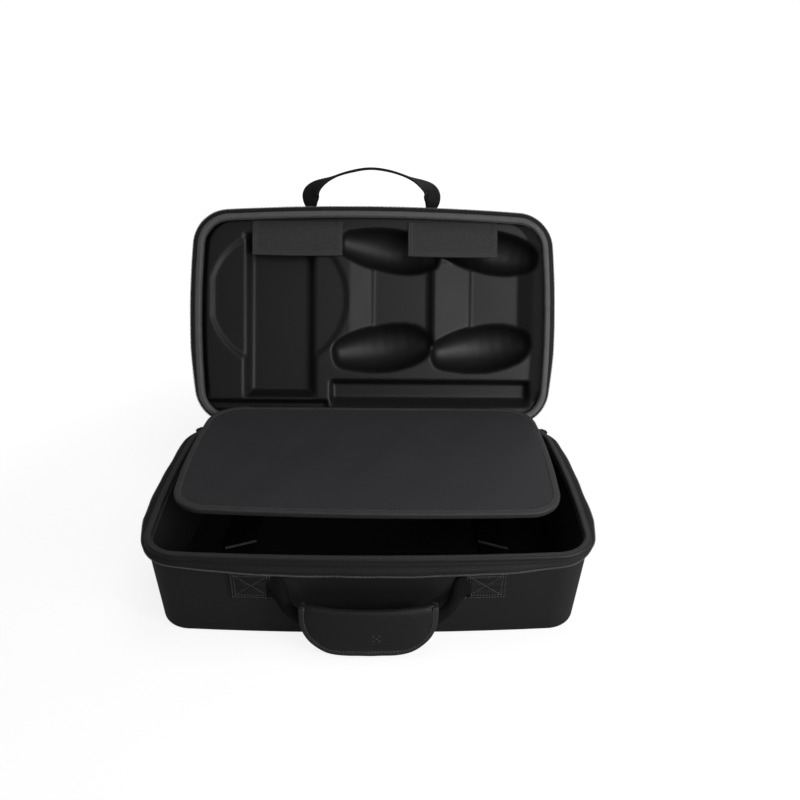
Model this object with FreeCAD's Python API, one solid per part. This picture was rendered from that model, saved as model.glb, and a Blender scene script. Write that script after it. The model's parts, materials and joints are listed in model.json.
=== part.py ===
"""Hard-shell storage case for a game console, standing open.

Millimetres, +Z up. X runs along the width, -Y is the side with the handles and +Y the hinge.
The origin lies under the middle of the base shell, on the surface that the case stands on.
Lid pieces are drawn on the closed case, above the parting plane, and then swung open.
"""
import FreeCAD
import Part
import math
import os
from FreeCAD import Vector

# Shell outline, on the outside of the mouth: a bowed front, bowed sides and a straight hinge side
case_width = 410.0
case_depth = 241.0
corner_radius = 36.0
front_bow = 7.8
side_bow = 7.0

# Moulded shells
base_height = 94.0
base_wall = 4.0
base_draft = 6.0
base_edge_radius = 5.0
lid_height = 65.0
lid_wall = 4.0
lid_draft = 5.0
lid_edge_radius = 12.0
smallest_inside_radius = 2.0
parting_gap = 0.4
fit_gap = 0.3

# Bindings over the raw edges of the two shells
binding_lap = 1.75
binding_height = 8.0
binding_cap = 3.0
binding_round = 3.4

# Zip tapes: the base's hangs down in front, the lid's stands out flat
tape_thickness = 1.2
base_tape_top = 3.5
base_tape_drop_front = 16.0
base_tape_drop_side = 9.0
base_tape_flare = 5.5
lid_tape_reach = 6.0
lid_tape_depth = 1.2
tape_end_inset = 4.0

# Hinge of the lid: a fold in a fabric strip behind the two bindings
lid_open_angle = 115.3
hinge_gap = 1.25
hinge_tape_width = 300.0
hinge_tape_thickness = 1.2
hinge_tape_reach = 28.0
hinge_tape_bend = 5.5

# Moulded tray glued into the lid; places are measured from the hinge line
tray_face_depth = 10.0
tray_thickness = 2.0
disc_radius = 80.5
disc_depth = 5.0
disc_x = -111.5
disc_to_flat = 77.5
disc_from_hinge = 145.0
well_x = -109.5
well_width = 85.0
well_length = 192.0
well_depth = 14.0
well_slope = 9.5
well_from_hinge = 29.0
pad_pitch = 115.5
pad_x = 33.0
pad_width = 74.0
pad_length = 92.0
pad_depth = 9.0
pad_slope = 3.0
pad_ramps = (24.0, 42.0)
pad_from_hinge = 144.5
lobe_length = 117.0
lobe_radius = 28.0
lobe_tilt = 9.5
lobe_tip_x = -80.0
lobe_tip_offset = 66.0
slot_length = 234.0
slot_radius = 15.0
slot_x = 66.5
slot_from_hinge = 34.0

# Two fabric flaps sewn under the lid's front edge
flap_width = 104.5
flap_length = 39.5
flap_thickness = 1.4
flap_x = 90.5
flap_shift = 1.4
flap_from_hinge = 234.0
flap_corner = 3.0

# Padded divider, hinged on a fabric strip on the tray
divider_width = 377.0
divider_depth = 205.0
divider_corner = 36.5
divider_bow = 6.5
divider_thickness = 6.4
divider_board_thickness = 5.0
divider_binding_width = 7.5
divider_binding_bite = 4.5
divider_round = 3.0
divider_set_back = 14.0
divider_depth_in_lid = 2.0
divider_tilt = -1.2
strip_width = 280.0
strip_reach = 4.0
strip_thickness = 1.2
strip_bead = 5.0

# Carrying handle on the front of the base
patch_width = 39.0
patch_height = 32.0
patch_thickness = 2.0
patch_x = 104.0
patch_z = 61.5
webbing_thickness = 2.4
webbing_width = 31.0
strap_end_gap = 2.5
strap_shoulder_x = 64.0
strap_shoulder_out = 14.0
strap_shoulder_z = 38.0
strap_middle_out = 19.0
strap_middle_z = 30.0
grip_width = 122.0
grip_top = 53.0
grip_bottom = 3.0
grip_thickness = 10.5
grip_corner = 36.0

# Webbing handle on the front of the lid
lid_handle_depth = 30.0
lid_handle_span = 145.0
lid_handle_x = -3.5
lid_handle_rise = 59.0
lid_handle_lean = -13.0
lid_handle_bulge = 8.0
lid_handle_shoulder = 27.0
lid_handle_width = 25.0
lid_handle_foot_radius = 5.0
lid_handle_taper = 20.0
lid_patch_width = 26.0
lid_patch_height = 28.0

# Zip sliders parked behind the rear corners
slider_length = 11.0
slider_height = 8.0
slider_thickness = 3.6
slider_edge = 1.0
slider_bearing = 45.0
pull_length = 26.0
pull_width = 6.0
pull_thickness = 1.4
pull_eye_radius = 1.2
pull_pin_radius = 0.9
pull_pin_out = 3.4
lug_thickness = 1.2
lug_gap = 0.4

# Hook-and-loop straps on the floor of the base
floor_strap_width = 38.0
floor_strap_thickness = 2.0
floor_strap_inset = 69.0
floor_strap_end_inset = 9.0
floor_strap_front_end = 26.0
floor_strap_rear_end = 8.0
floor_strap_ramp = 10.0
floor_strap_gap = 0.2

hinge_axis_y = case_depth / 2 + binding_lap + hinge_gap
floor_strap_x = case_width / 2 - floor_strap_inset
hinge_axis_z = base_height
tray_face_z = base_height + tray_face_depth
divider_axis_y = hinge_axis_y - divider_set_back
divider_axis_z = base_height + divider_depth_in_lid
X_AXIS = Vector(1, 0, 0)
Y_AXIS = Vector(0, 1, 0)
Z_AXIS = Vector(0, 0, 1)


def arc(start, middle, end):
    """Edge of the circle through three points."""
    return Part.Arc(start, middle, end).toShape()


def line(start, end):
    """Straight edge."""
    return Part.LineSegment(start, end).toShape()


def polygon(points):
    """Face with straight sides through the points."""
    return Part.Face(Part.makePolygon(points + [points[0]]))


def box(x0, x1, y0, y1, z0, z1):
    """Block between two corners."""
    return Part.makeBox(x1 - x0, y1 - y0, z1 - z0, Vector(x0, y0, z0))


def bow_radius(chord, bow):
    """Radius of the arc that rises by bow over a chord."""
    return (chord * chord / 4 + bow * bow) / (2 * bow)


class Outline:
    """Rounded rectangle with a bowed front, bowed sides and a straight back, with exact offsets."""

    def __init__(self, width, depth, corner, front_rise, side_rise, middle_y=0.0):
        self.corner = corner
        self.front_y = middle_y - depth / 2
        self.rear_y = middle_y + depth / 2
        self.front_radius = bow_radius(width, front_rise)
        self.side_radius = bow_radius(depth, side_rise)
        self.front_centre = Vector(0, self.front_y + self.front_radius, 0)
        self.side_centre = Vector(width / 2 - self.side_radius, middle_y, 0)
        reach = self.side_radius - corner
        rear_y = self.rear_y - corner
        rear_x = self.side_centre.x + math.sqrt(reach**2 - (rear_y - middle_y) ** 2)
        self.rear_corner = Vector(rear_x, rear_y, 0)
        self.front_corner = self._front_corner(reach)

    def _front_corner(self, reach):
        """Centre of the front corner's arc, inside both bowed sides."""
        across = self.side_centre - self.front_centre
        gap = across.Length
        front_reach = self.front_radius - self.corner
        along = (front_reach**2 - reach**2 + gap**2) / (2 * gap)
        aside = math.sqrt(front_reach**2 - along**2)
        unit = across / gap
        foot = self.front_centre + unit * along
        normal = Vector(unit.y, -unit.x, 0)
        first = foot + normal * aside
        second = foot - normal * aside
        return first if first.y < second.y else second

    def wire(self, out, z):
        """Closed wire at height z, moved outwards by out."""
        level = Vector(0, 0, z)

        def on(centre, towards, radius):
            direction = (towards - centre).normalize()
            return centre + direction * radius + level

        def left(point):
            return Vector(-point.x, point.y, point.z)

        corner = self.corner + out
        front_end = on(self.front_centre, self.front_corner, self.front_radius + out)
        side_front = on(self.side_centre, self.front_corner, self.side_radius + out)
        side_rear = on(self.side_centre, self.rear_corner, self.side_radius + out)
        rear_end = self.rear_corner + Vector(0, corner, z)
        front_mid = Vector(0, self.front_y - out, z)
        side_mid = self.side_centre + Vector(self.side_radius + out, 0, z)
        front_turn = on(self.front_corner, (front_end + side_front) / 2 - level, corner)
        rear_turn = on(self.rear_corner, (rear_end + side_rear) / 2 - level, corner)
        return Part.Wire([
            arc(left(front_end), front_mid, front_end),
            arc(front_end, front_turn, side_front),
            arc(side_front, side_mid, side_rear),
            arc(side_rear, rear_turn, rear_end),
            line(rear_end, left(rear_end)),
            arc(left(rear_end), left(rear_turn), left(side_rear)),
            arc(left(side_rear), left(side_mid), left(side_front)),
            arc(left(side_front), left(front_turn), left(front_end)),
        ])

    def block(self, low_out, low_z, high_out, high_z):
        """Solid with drafted walls between two offsets of the outline."""
        return Part.makeLoft([self.wire(low_out, low_z), self.wire(high_out, high_z)], True, True)

    def prism(self, out, low_z, high_z):
        """Solid with upright walls."""
        return Part.Face(self.wire(out, low_z)).extrude(Vector(0, 0, high_z - low_z))

    def ring(self, outside, inside, low_z, high_z):
        """Upright wall between two offsets of the outline."""
        return self.prism(outside, low_z, high_z).cut(self.prism(inside, low_z - 1, high_z + 1))


CASE = Outline(case_width, case_depth, corner_radius, front_bow, side_bow)


def edges_at(shape, z):
    """Edges of a shape that lie flat at height z."""
    flat = [e for e in shape.Edges if e.BoundBox.ZLength < 1e-4]
    return [e for e in flat if abs(e.BoundBox.ZMin - z) < 1e-4]


def flip(shape):
    """Turn a piece of the mouth over, from under the parting plane to above it."""
    return shape.rotated(Vector(0, 0, base_height), Y_AXIS, 180)


def swing_open(shape):
    """Move a lid piece from the closed case to the open lid."""
    return shape.rotated(Vector(0, hinge_axis_y, hinge_axis_z), X_AXIS, -lid_open_angle)


def wall_out(z, height, draft):
    """Offset of a drafted shell's outer face at a height under its mouth plane."""
    return -draft * (height - z) / height


def ribbon(points, thickness):
    """Face of even thickness along a line of points in the YZ plane."""
    half = thickness / 2
    normals = []
    for start, end in zip(points, points[1:]):
        along = (end - start).normalize()
        normals.append(Vector(0, -along.z, along.y))
    sides = []
    for index, point in enumerate(points):
        before = normals[max(index - 1, 0)]
        after = normals[min(index, len(normals) - 1)]
        mitre = (before + after).normalize()
        sides.append(mitre * (half / mitre.dot(after)))
    near = [p + s for p, s in zip(points, sides)]
    far = [p - s for p, s in zip(points, sides)]
    return polygon(near + far[::-1])


def shell(height, wall, draft, edge_radius):
    """Open moulded tray with drafted walls and a rounded foot, its mouth plane at height."""
    mouth = height - parting_gap / 2 - binding_cap
    outer = CASE.block(-draft, 0, wall_out(mouth, height, draft), mouth)
    outer = outer.makeFillet(edge_radius, edges_at(outer, 0))
    above = mouth + binding_cap
    inner_low = wall_out(wall, height, draft) - wall
    inner_high = wall_out(above, height, draft) - wall
    inner = CASE.block(inner_low, wall, inner_high, above)
    inside_radius = max(edge_radius - wall, smallest_inside_radius)
    inner = inner.makeFillet(inside_radius, edges_at(inner, wall))
    return outer.cut(inner)


def rim_binding(wall, height, draft):
    """Fabric binding folded over a shell's edge, under the parting plane."""
    top = base_height - parting_gap / 2
    low = top - binding_height
    lean = draft * (binding_height + binding_cap) / height
    inside = -wall - binding_lap
    roll = CASE.ring(binding_lap, inside, low, top)
    roll = roll.makeFillet(binding_round, edges_at(roll, top))
    slot = CASE.ring(fit_gap, -wall - lean - fit_gap, low - 1, top - binding_cap + fit_gap)
    return roll.cut(slot)


def trim_at_rear(tape):
    """Cut a zip tape off where it ends behind the rear corners."""
    end_y = case_depth / 2 - tape_end_inset
    reach = case_width
    return tape.cut(box(-reach, reach, end_y, reach, 0, base_height))


def base_zipper_tape():
    """Tape that hangs from the base's binding, deepest at the middle of the front."""
    top = base_height - base_tape_top
    low = base_height - base_tape_drop_front
    top_out = binding_lap + fit_gap
    outer = CASE.block(base_tape_flare, low, top_out + tape_thickness, top)
    inner = CASE.block(base_tape_flare - tape_thickness, low, top_out, top)
    side = base_height - base_tape_drop_side
    reach = case_width / 2 + base_tape_flare
    beyond = case_depth
    corner_left = Vector(-reach, -beyond, side)
    corner_right = Vector(reach, -beyond, side)
    under = low - base_tape_flare
    below = Part.Wire([
        arc(corner_left, Vector(0, -beyond, low), corner_right),
        line(corner_right, Vector(reach, -beyond, under)),
        line(Vector(reach, -beyond, under), Vector(-reach, -beyond, under)),
        line(Vector(-reach, -beyond, under), corner_left),
    ])
    hem_cut = Part.Face(below).extrude(Vector(0, 2 * beyond, 0))
    return trim_at_rear(outer.cut(inner).cut(hem_cut))


def lid_zipper_tape():
    """Tape that stands out of the lid's binding, drawn under the parting plane."""
    top = base_height - lid_tape_depth
    return trim_at_rear(CASE.ring(lid_tape_reach, binding_lap + fit_gap, top - tape_thickness, top))


def hinge_leg(height, wall_height, draft):
    """Half of the hinge strip: from the fold down behind a binding and along a shell's wall."""
    def wall_y(z):
        depth = base_height - z
        face = case_depth / 2 + wall_out(wall_height - depth, wall_height, draft)
        return face + fit_gap + hinge_tape_thickness / 2

    behind = base_height - binding_height
    bend = behind - hinge_tape_bend
    end = base_height - height
    points = [
        Vector(-hinge_tape_width / 2, hinge_axis_y, hinge_axis_z),
        Vector(-hinge_tape_width / 2, hinge_axis_y, behind),
        Vector(-hinge_tape_width / 2, wall_y(bend), bend),
        Vector(-hinge_tape_width / 2, wall_y(end), end),
    ]
    return ribbon(points, hinge_tape_thickness).extrude(X_AXIS * hinge_tape_width)


def hinge_tape():
    """Fabric strip behind the two shells, folded on the hinge line."""
    lower = hinge_leg(hinge_tape_reach, base_height, base_draft)
    upper = swing_open(flip(hinge_leg(hinge_tape_reach, lid_height, lid_draft)))
    fold_start = Vector(-hinge_tape_width / 2, hinge_axis_y, hinge_axis_z)
    fold = Part.makeCylinder(hinge_tape_thickness / 2, hinge_tape_width, fold_start, X_AXIS)
    return lower.fuse(upper).fuse(fold).removeSplitter()


def from_hinge(distance):
    """Y on the closed case at a distance from the hinge line."""
    return hinge_axis_y - distance


def frustum(x, y, width, length, depth, slope, grow, ramp=0.0):
    """Recess with sloping walls, a longer ramp on the left and its mouth on the tray's face.

    The recess is thickened all round by grow.
    """
    def rectangle(inset, z, left):
        half_x = width / 2 - inset + grow
        half_y = length / 2 - inset + grow
        corners = [(-half_x - left, -half_y), (half_x, -half_y), (half_x, half_y), (-half_x - left, half_y)]
        points = [Vector(x + dx, y + dy, z) for dx, dy in corners]
        return Part.makePolygon(points + [points[0]])

    mouth = rectangle(0, tray_face_z, ramp)
    floor = rectangle(slope, tray_face_z + depth + grow, 0)
    return Part.makeLoft([mouth, floor], True, True)


def grip_lobe(x, y, toward, grow):
    """Half-round bowl for one hand grip, turned about an axis in the tray's face."""
    stations = [(0.0, 0.0), (0.06, 0.4), (0.15, 0.68), (0.3, 0.87), (0.52, 1.0), (0.75, 0.93), (1.0, 0.64)]
    span = lobe_length + grow
    profile = [Vector(along * span - grow / 2, share * (lobe_radius + grow), 0) for along, share in stations]
    curve = Part.BSplineCurve()
    curve.interpolate(profile)
    end = Vector(profile[-1].x, 0, 0)
    face = Part.Face(Part.Wire([curve.toShape(), line(profile[-1], end), line(end, profile[0])]))
    bowl = face.revolve(Vector(0, 0, 0), X_AXIS, 360)
    bowl = bowl.rotated(Vector(0, 0, 0), Z_AXIS, toward * lobe_tilt)
    bowl = bowl.translated(Vector(x + lobe_tip_x, y - toward * lobe_tip_offset, tray_face_z))
    return bowl


def trough(x, y, length, radius):
    """Round-bottomed trough with upright ends and its axis in the tray's face."""
    return Part.makeCylinder(radius, length, Vector(x - length / 2, y, tray_face_z), X_AXIS)


def disc_recess(grow):
    """Shallow round recess, cut off straight beside the lid's side wall."""
    y = from_hinge(disc_from_hinge)
    radius = disc_radius + grow
    depth = disc_depth + grow
    disc = Part.makeCylinder(radius, depth, Vector(disc_x, y, tray_face_z))
    flat = disc_x - disc_to_flat - grow
    return disc.common(box(flat, disc_x + radius, y - radius, y + radius, tray_face_z, tray_face_z + depth))


def tray_recesses(grow):
    """All the hollows of the lid's tray, thickened by grow for the tray's back."""
    well_y = from_hinge(well_from_hinge + well_length / 2)
    hollows = [
        disc_recess(grow),
        frustum(well_x, well_y, well_width, well_length, well_depth, well_slope, grow),
        trough(slot_x, from_hinge(slot_from_hinge), slot_length + 2 * grow, slot_radius + grow),
    ]
    for number in (0, 1):
        x = pad_x + number * pad_pitch
        y = from_hinge(pad_from_hinge)
        ramp = pad_ramps[number]
        hollows.append(frustum(x, y, pad_width, pad_length, pad_depth, pad_slope, grow, ramp))
        for toward in (-1, 1):
            hollows.append(grip_lobe(x, y, toward, grow))
    return hollows


def lid_tray():
    """Moulded sheet with a disc recess, a well, two controller beds and a long slot."""
    depth = lid_height - tray_face_depth
    edge_out = wall_out(depth, lid_height, lid_draft) - lid_wall - fit_gap
    narrow_out = wall_out(depth - tray_thickness, lid_height, lid_draft) - lid_wall - fit_gap
    sheet = CASE.block(edge_out, tray_face_z, narrow_out, tray_face_z + tray_thickness)
    above = CASE.prism(narrow_out, tray_face_z, base_height + lid_height)
    backs = [back.common(above) for back in tray_recesses(tray_thickness)]
    return sheet.fuse(backs).cut(tray_recesses(0)).removeSplitter()


def lid_flap(x):
    """Fabric flap that lies on the tray's face, sewn in at the lid's front edge."""
    far = from_hinge(flap_from_hinge)
    top = tray_face_z - fit_gap
    flap = box(x - flap_width / 2, x + flap_width / 2, far, far + flap_length, top - flap_thickness, top)
    free = far + flap_length
    upright = [e for e in flap.Edges if e.BoundBox.ZLength > flap_thickness / 2]
    return flap.makeFillet(flap_corner, [e for e in upright if abs(e.BoundBox.YMin - free) < 1e-4])


def divider_outline():
    """Outline of the divider on the closed case, its back edge rolled round the hinge."""
    rear = divider_axis_y + divider_thickness / 2
    middle = rear - divider_depth / 2
    return Outline(divider_width, divider_depth, divider_corner, divider_bow, divider_bow, middle)


def lay_down(shape):
    """Move a divider piece from the closed case to where it lies with the lid open."""
    opened = swing_open(shape)
    axis = swing_open(Part.Vertex(0, divider_axis_y, divider_axis_z)).Point
    return opened.rotated(axis, X_AXIS, lid_open_angle - divider_tilt)


def divider_board():
    """Stiff board inside the divider."""
    half = divider_board_thickness / 2
    inset = divider_binding_width - divider_binding_bite
    return divider_outline().prism(-inset, divider_axis_z - half, divider_axis_z + half)


def divider_binding():
    """Binding folded round the board's edge."""
    outline = divider_outline()
    half = divider_thickness / 2
    low = divider_axis_z - half
    high = divider_axis_z + half
    body = outline.prism(0, low, high)
    body = body.makeFillet(divider_round, edges_at(body, low) + edges_at(body, high))
    bore = outline.prism(-divider_binding_width, low - half, high + half)
    slot_half = divider_board_thickness / 2 + fit_gap / 2
    inset = divider_binding_width - divider_binding_bite - fit_gap / 2
    slot = outline.prism(-inset, divider_axis_z - slot_half, divider_axis_z + slot_half)
    return body.cut(bore).cut(slot)


def divider_hinge_strip():
    """Fabric strip on the tray with a folded bead that carries the divider's back edge."""
    top = tray_face_z - fit_gap
    bead_low = divider_axis_z + divider_thickness / 2 + fit_gap
    half = strip_width / 2
    rear = divider_axis_y + divider_thickness / 2
    sole = box(-half, half, divider_axis_y - strip_reach, rear, top - strip_thickness, top)
    bead = box(-half, half, divider_axis_y - strip_bead / 2, divider_axis_y + strip_bead / 2, bead_low, top)
    return sole.fuse(bead).removeSplitter()


def front_patch(x, z, width, height, wall_height, draft):
    """Sewn patch that follows the front wall of a shell whose mouth plane is the parting plane."""
    def skin(out):
        low = z - height
        high = z + height
        foot = base_height - wall_height
        low_out = wall_out(low - foot, wall_height, draft) + out
        high_out = wall_out(high - foot, wall_height, draft) + out
        return CASE.block(low_out, low, high_out, high)

    near = fit_gap / 2
    area = box(x - width / 2, x + width / 2, -case_depth, 0, z - height / 2, z + height / 2)
    return skin(near + patch_thickness).common(area).cut(skin(near))


def front_wall_y(x, z, wall_height, draft):
    """Y of a shell's front wall, bow and draft included, under the parting plane."""
    radius = CASE.front_radius
    swell = radius - math.sqrt(radius**2 - x**2)
    foot = base_height - wall_height
    return -case_depth / 2 - wall_out(z - foot, wall_height, draft) + swell


def strap_section(x, out, z, grow):
    """Upright rectangle across the base's handle webbing."""
    half_y = webbing_thickness / 2 + grow
    half_z = webbing_width / 2 + grow
    y = front_wall_y(x, z, base_height, base_draft) - out
    corners = [(-1, -1), (1, -1), (1, 1), (-1, 1)]
    points = [Vector(x, y + sy * half_y, z + sz * half_z) for sy, sz in corners]
    return Part.makePolygon(points + [points[0]])


def base_handle_strap(grow=0.0):
    """Webbing that leaves the two patches, sags and stands off the wall."""
    end_x = patch_x - patch_width / 2 - strap_end_gap
    end_lean = base_draft * webbing_width / (2 * base_height)
    end_out = 2 * fit_gap + end_lean + webbing_thickness / 2
    stations = [
        (-end_x, end_out, patch_z),
        (-strap_shoulder_x, strap_shoulder_out, strap_shoulder_z),
        (0.0, strap_middle_out, strap_middle_z),
        (strap_shoulder_x, strap_shoulder_out, strap_shoulder_z),
        (end_x, end_out, patch_z),
    ]
    return Part.makeLoft([strap_section(x, out, z, grow) for x, out, z in stations], True, True)


def base_handle_grip():
    """Padded wrap folded over the webbing, with large round lower corners."""
    half = grip_width / 2
    lower = grip_bottom + grip_corner
    reach = case_depth
    side_left = Vector(-half, 0, lower)
    side_right = Vector(half, 0, lower)
    turn = grip_corner * (1 - math.sqrt(0.5))
    flat = half - grip_corner
    front = Part.Wire([
        line(Vector(-half, 0, grip_top), Vector(half, 0, grip_top)),
        line(Vector(half, 0, grip_top), side_right),
        arc(side_right, Vector(half - turn, 0, grip_bottom + turn), Vector(flat, 0, grip_bottom)),
        line(Vector(flat, 0, grip_bottom), Vector(-flat, 0, grip_bottom)),
        arc(Vector(-flat, 0, grip_bottom), Vector(turn - half, 0, grip_bottom + turn), side_left),
        line(side_left, Vector(-half, 0, grip_top)),
    ])
    shadow = Part.Face(front).extrude(Vector(0, -reach, 0))

    def across(x, out, offset):
        return Vector(x, front_wall_y(x, patch_z, base_height, base_draft) - out - offset, 0)

    def bowed(offset):
        ends = strap_shoulder_out
        start = across(-strap_shoulder_x, ends, offset)
        middle = across(0, strap_middle_out, offset)
        end = across(strap_shoulder_x, ends, offset)
        return start, middle, end

    near = bowed(-grip_thickness / 2)
    far = bowed(grip_thickness / 2)
    plan = Part.Wire([arc(*near), line(near[2], far[2]), arc(*far[::-1]), line(far[0], near[0])])
    slab = Part.Face(plan).extrude(Vector(0, 0, base_height))
    return slab.common(shadow).cut(base_handle_strap(fit_gap))


def lid_handle_axis():
    """Y and Z of the lid handle's feet on the closed case."""
    z = base_height + lid_handle_depth
    wall = front_wall_y(lid_handle_span / 2, base_height - lid_handle_depth, lid_height, lid_draft)
    return wall - patch_thickness - 1.5 * fit_gap - lid_handle_foot_radius, z


def lid_handle():
    """Arched webbing handle with narrowed feet."""
    foot_y, foot_z = lid_handle_axis()
    half = lid_handle_span / 2
    crown = foot_y + lid_handle_foot_radius - lid_handle_rise
    shoulder = foot_y - lid_handle_shoulder
    back = foot_y + lid_handle_foot_radius

    def side(grow):
        foot = Vector(half + grow, back, 0)
        bulge = Vector(half + lid_handle_bulge + grow, (back + shoulder) / 2, 0)
        top = Vector(half - lid_handle_bulge + grow, shoulder, 0)
        return foot, bulge, top

    def left(point):
        return Vector(-point.x, point.y, point.z)

    foot, bulge, top = side(webbing_thickness)
    inner_foot, inner_bulge, inner_top = side(0)
    inner_top = inner_top + Vector(-webbing_thickness / 2, webbing_thickness, 0)
    apex = Vector(0, crown, 0)
    inner_apex = Vector(0, crown + webbing_thickness, 0)
    plan = Part.Wire([
        arc(left(foot), left(bulge), left(top)), arc(left(top), apex, top), arc(top, bulge, foot),
        line(foot, inner_foot),
        arc(inner_foot, inner_bulge, inner_top), arc(inner_top, inner_apex, left(inner_top)),
        arc(left(inner_top), left(inner_bulge), left(inner_foot)), line(left(inner_foot), left(foot)),
    ])
    arch = Part.Face(plan).extrude(Vector(0, 0, 2 * lid_handle_width))
    arch = arch.translated(Vector(0, 0, foot_z - lid_handle_width))
    reach = half + 2 * lid_handle_bulge
    wide = lid_handle_width / 2
    narrow = lid_handle_foot_radius
    wide_y = foot_y - lid_handle_taper
    far_y = crown - webbing_thickness
    outline = [
        (foot_y, foot_z + narrow), (wide_y, foot_z + wide), (far_y, foot_z + wide),
        (far_y, foot_z - wide), (wide_y, foot_z - wide), (foot_y, foot_z - narrow),
    ]
    points = [Vector(-reach, y, z) for y, z in outline]
    edges = [line(a, b) for a, b in zip(points, points[1:])]
    edges.append(arc(points[-1], Vector(-reach, foot_y + narrow, foot_z), points[0]))
    taper = Part.Face(Part.Wire(edges)).extrude(X_AXIS * 2 * reach)
    handle = arch.common(taper).translated(X_AXIS * lid_handle_x)
    return handle.rotated(Vector(0, foot_y, foot_z), X_AXIS, -lid_handle_lean)


def slider_frame(side):
    """Point and turn of a slider behind a rear corner: side -1 is left, 1 is right."""
    bearing = math.radians(slider_bearing)
    drop = base_tape_drop_side - base_tape_top
    tape_out = binding_lap + fit_gap + tape_thickness
    spread = base_tape_flare - tape_out
    lean = spread * drop / (base_tape_drop_front - base_tape_top)
    reach = corner_radius + tape_out + lean + fit_gap
    centre = CASE.rear_corner
    x = side * (centre.x + reach * math.cos(bearing))
    y = centre.y + reach * math.sin(bearing)
    turn = slider_bearing - 90 if side > 0 else 90 - slider_bearing
    return Vector(x, y, base_height - base_tape_top - slider_height / 2), turn


def to_slider(shape, side):
    """Place a piece drawn with its back on the XZ plane, outwards along +Y, on the case."""
    point, turn = slider_frame(side)
    return shape.rotated(Vector(0, 0, 0), Z_AXIS, turn).translated(point)


def zipper_slider(side):
    """Slider body with two lugs and the pin that the pull hangs on."""
    half = slider_length / 2
    tall = slider_height / 2
    body = box(-half, half, 0, slider_thickness, -tall, tall)
    body = body.makeFillet(slider_edge, [e for e in body.Edges if e.BoundBox.YMin > slider_thickness - 1e-4])
    pin_y = slider_thickness + pull_pin_out
    inner = pull_width / 2 + lug_gap
    outer = inner + lug_thickness
    thick = 2 * pull_pin_radius
    slider = body
    for start in (-outer, inner):
        bar = box(start, start + lug_thickness, slider_thickness - slider_edge, pin_y, -thick, thick)
        boss = Part.makeCylinder(thick, lug_thickness, Vector(start, pin_y, 0), X_AXIS)
        slider = slider.fuse(bar).fuse(boss)
    pin = Part.makeCylinder(pull_pin_radius, 2 * outer, Vector(-outer, pin_y, 0), X_AXIS)
    return to_slider(slider.fuse(pin).removeSplitter(), side)


def zipper_pull(side):
    """Flat pull that hangs from the slider's pin by an eye."""
    pin_y = slider_thickness + pull_pin_out
    half = pull_width / 2
    eye = pull_eye_radius + pull_thickness
    ring = Part.makeCylinder(eye, pull_width, Vector(-half, pin_y, 0), X_AXIS)
    thin = pull_thickness / 2
    plate = box(-half, half, pin_y - thin, pin_y + thin, -pull_length, 0)
    low = [e for e in plate.Edges if e.BoundBox.YLength > thin and e.BoundBox.ZMax < -pull_length / 2]
    plate = plate.makeFillet(half * 0.8, low)
    bore = Part.makeCylinder(pull_eye_radius, 2 * pull_width, Vector(-pull_width, pin_y, 0), X_AXIS)
    return to_slider(ring.fuse(plate).cut(bore).removeSplitter(), side)


def floor_strap(x, points):
    """Webbing strip along the floor of the base, bent at the points."""
    start = [Vector(x - floor_strap_width / 2, y, z) for y, z in points]
    return ribbon(start, floor_strap_thickness).extrude(X_AXIS * floor_strap_width)


def floor_straps():
    """The two fastened pairs of straps: each rear half laps over the front half."""
    inner = case_depth / 2 + wall_out(base_wall, base_height, base_draft) - base_wall
    anchor = inner - floor_strap_end_inset
    low = base_wall + floor_strap_gap + floor_strap_thickness / 2
    high = low + floor_strap_thickness + floor_strap_gap
    foot = floor_strap_front_end + floor_strap_ramp
    front = [(-anchor, low), (floor_strap_front_end, low)]
    rear = [(anchor, low), (foot + floor_strap_gap, low)]
    rear += [(foot - floor_strap_ramp / 2, high), (floor_strap_rear_end, high)]
    straps = {}
    for side, x in (("left", -floor_strap_x), ("right", floor_strap_x)):
        straps["floor_strap_%s_front" % side] = floor_strap(x, front)
        straps["floor_strap_%s_rear" % side] = floor_strap(x, rear)
    return straps


def lid_shell():
    """The lid's moulded shell on the closed case."""
    upright = shell(lid_height, lid_wall, lid_draft, lid_edge_radius)
    return flip(upright.translated(Vector(0, 0, base_height - lid_height)))


def build():
    """All the pieces by name, as they stand with the lid open."""
    pieces = {
        "base_shell": shell(base_height, base_wall, base_draft, base_edge_radius),
        "base_rim_binding": rim_binding(base_wall, base_height, base_draft),
        "base_zipper_tape": base_zipper_tape(),
        "base_handle_strap": base_handle_strap(),
        "base_handle_grip": base_handle_grip(),
        "hinge_tape": hinge_tape(),
        "divider_board": lay_down(divider_board()),
        "divider_binding": lay_down(divider_binding()),
    }
    lid_pieces = {
        "lid_shell": lid_shell(),
        "lid_rim_binding": flip(rim_binding(lid_wall, lid_height, lid_draft)),
        "lid_zipper_tape": flip(lid_zipper_tape()),
        "lid_tray": lid_tray(),
        "lid_handle": lid_handle(),
        "divider_hinge_strip": divider_hinge_strip(),
    }
    lid_patch_z = base_height - lid_handle_depth
    for name, side in (("left", -1), ("right", 1)):
        pieces["base_handle_patch_" + name] = front_patch(
            side * patch_x, patch_z, patch_width, patch_height, base_height, base_draft)
        foot_x = -side * lid_handle_span / 2 - lid_handle_x
        lid_patch = front_patch(
            foot_x, lid_patch_z, lid_patch_width, lid_patch_height, lid_height, lid_draft)
        lid_pieces["lid_handle_patch_" + name] = flip(lid_patch)
        lid_pieces["lid_flap_" + name] = lid_flap(side * flap_x + flap_shift)
        pieces["zipper_slider_" + name] = zipper_slider(side)
        pieces["zipper_pull_" + name] = zipper_pull(side)
    pieces.update(floor_straps())
    for name, shape in lid_pieces.items():
        pieces[name] = swing_open(shape)
    return pieces


os.makedirs("parts", exist_ok=True)
for node, shape in build().items():
    shape.exportStep("parts/%s.step" % node)
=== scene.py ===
"""Looks of a hard-shell storage case for a game console, standing open on a pale floor."""

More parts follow.
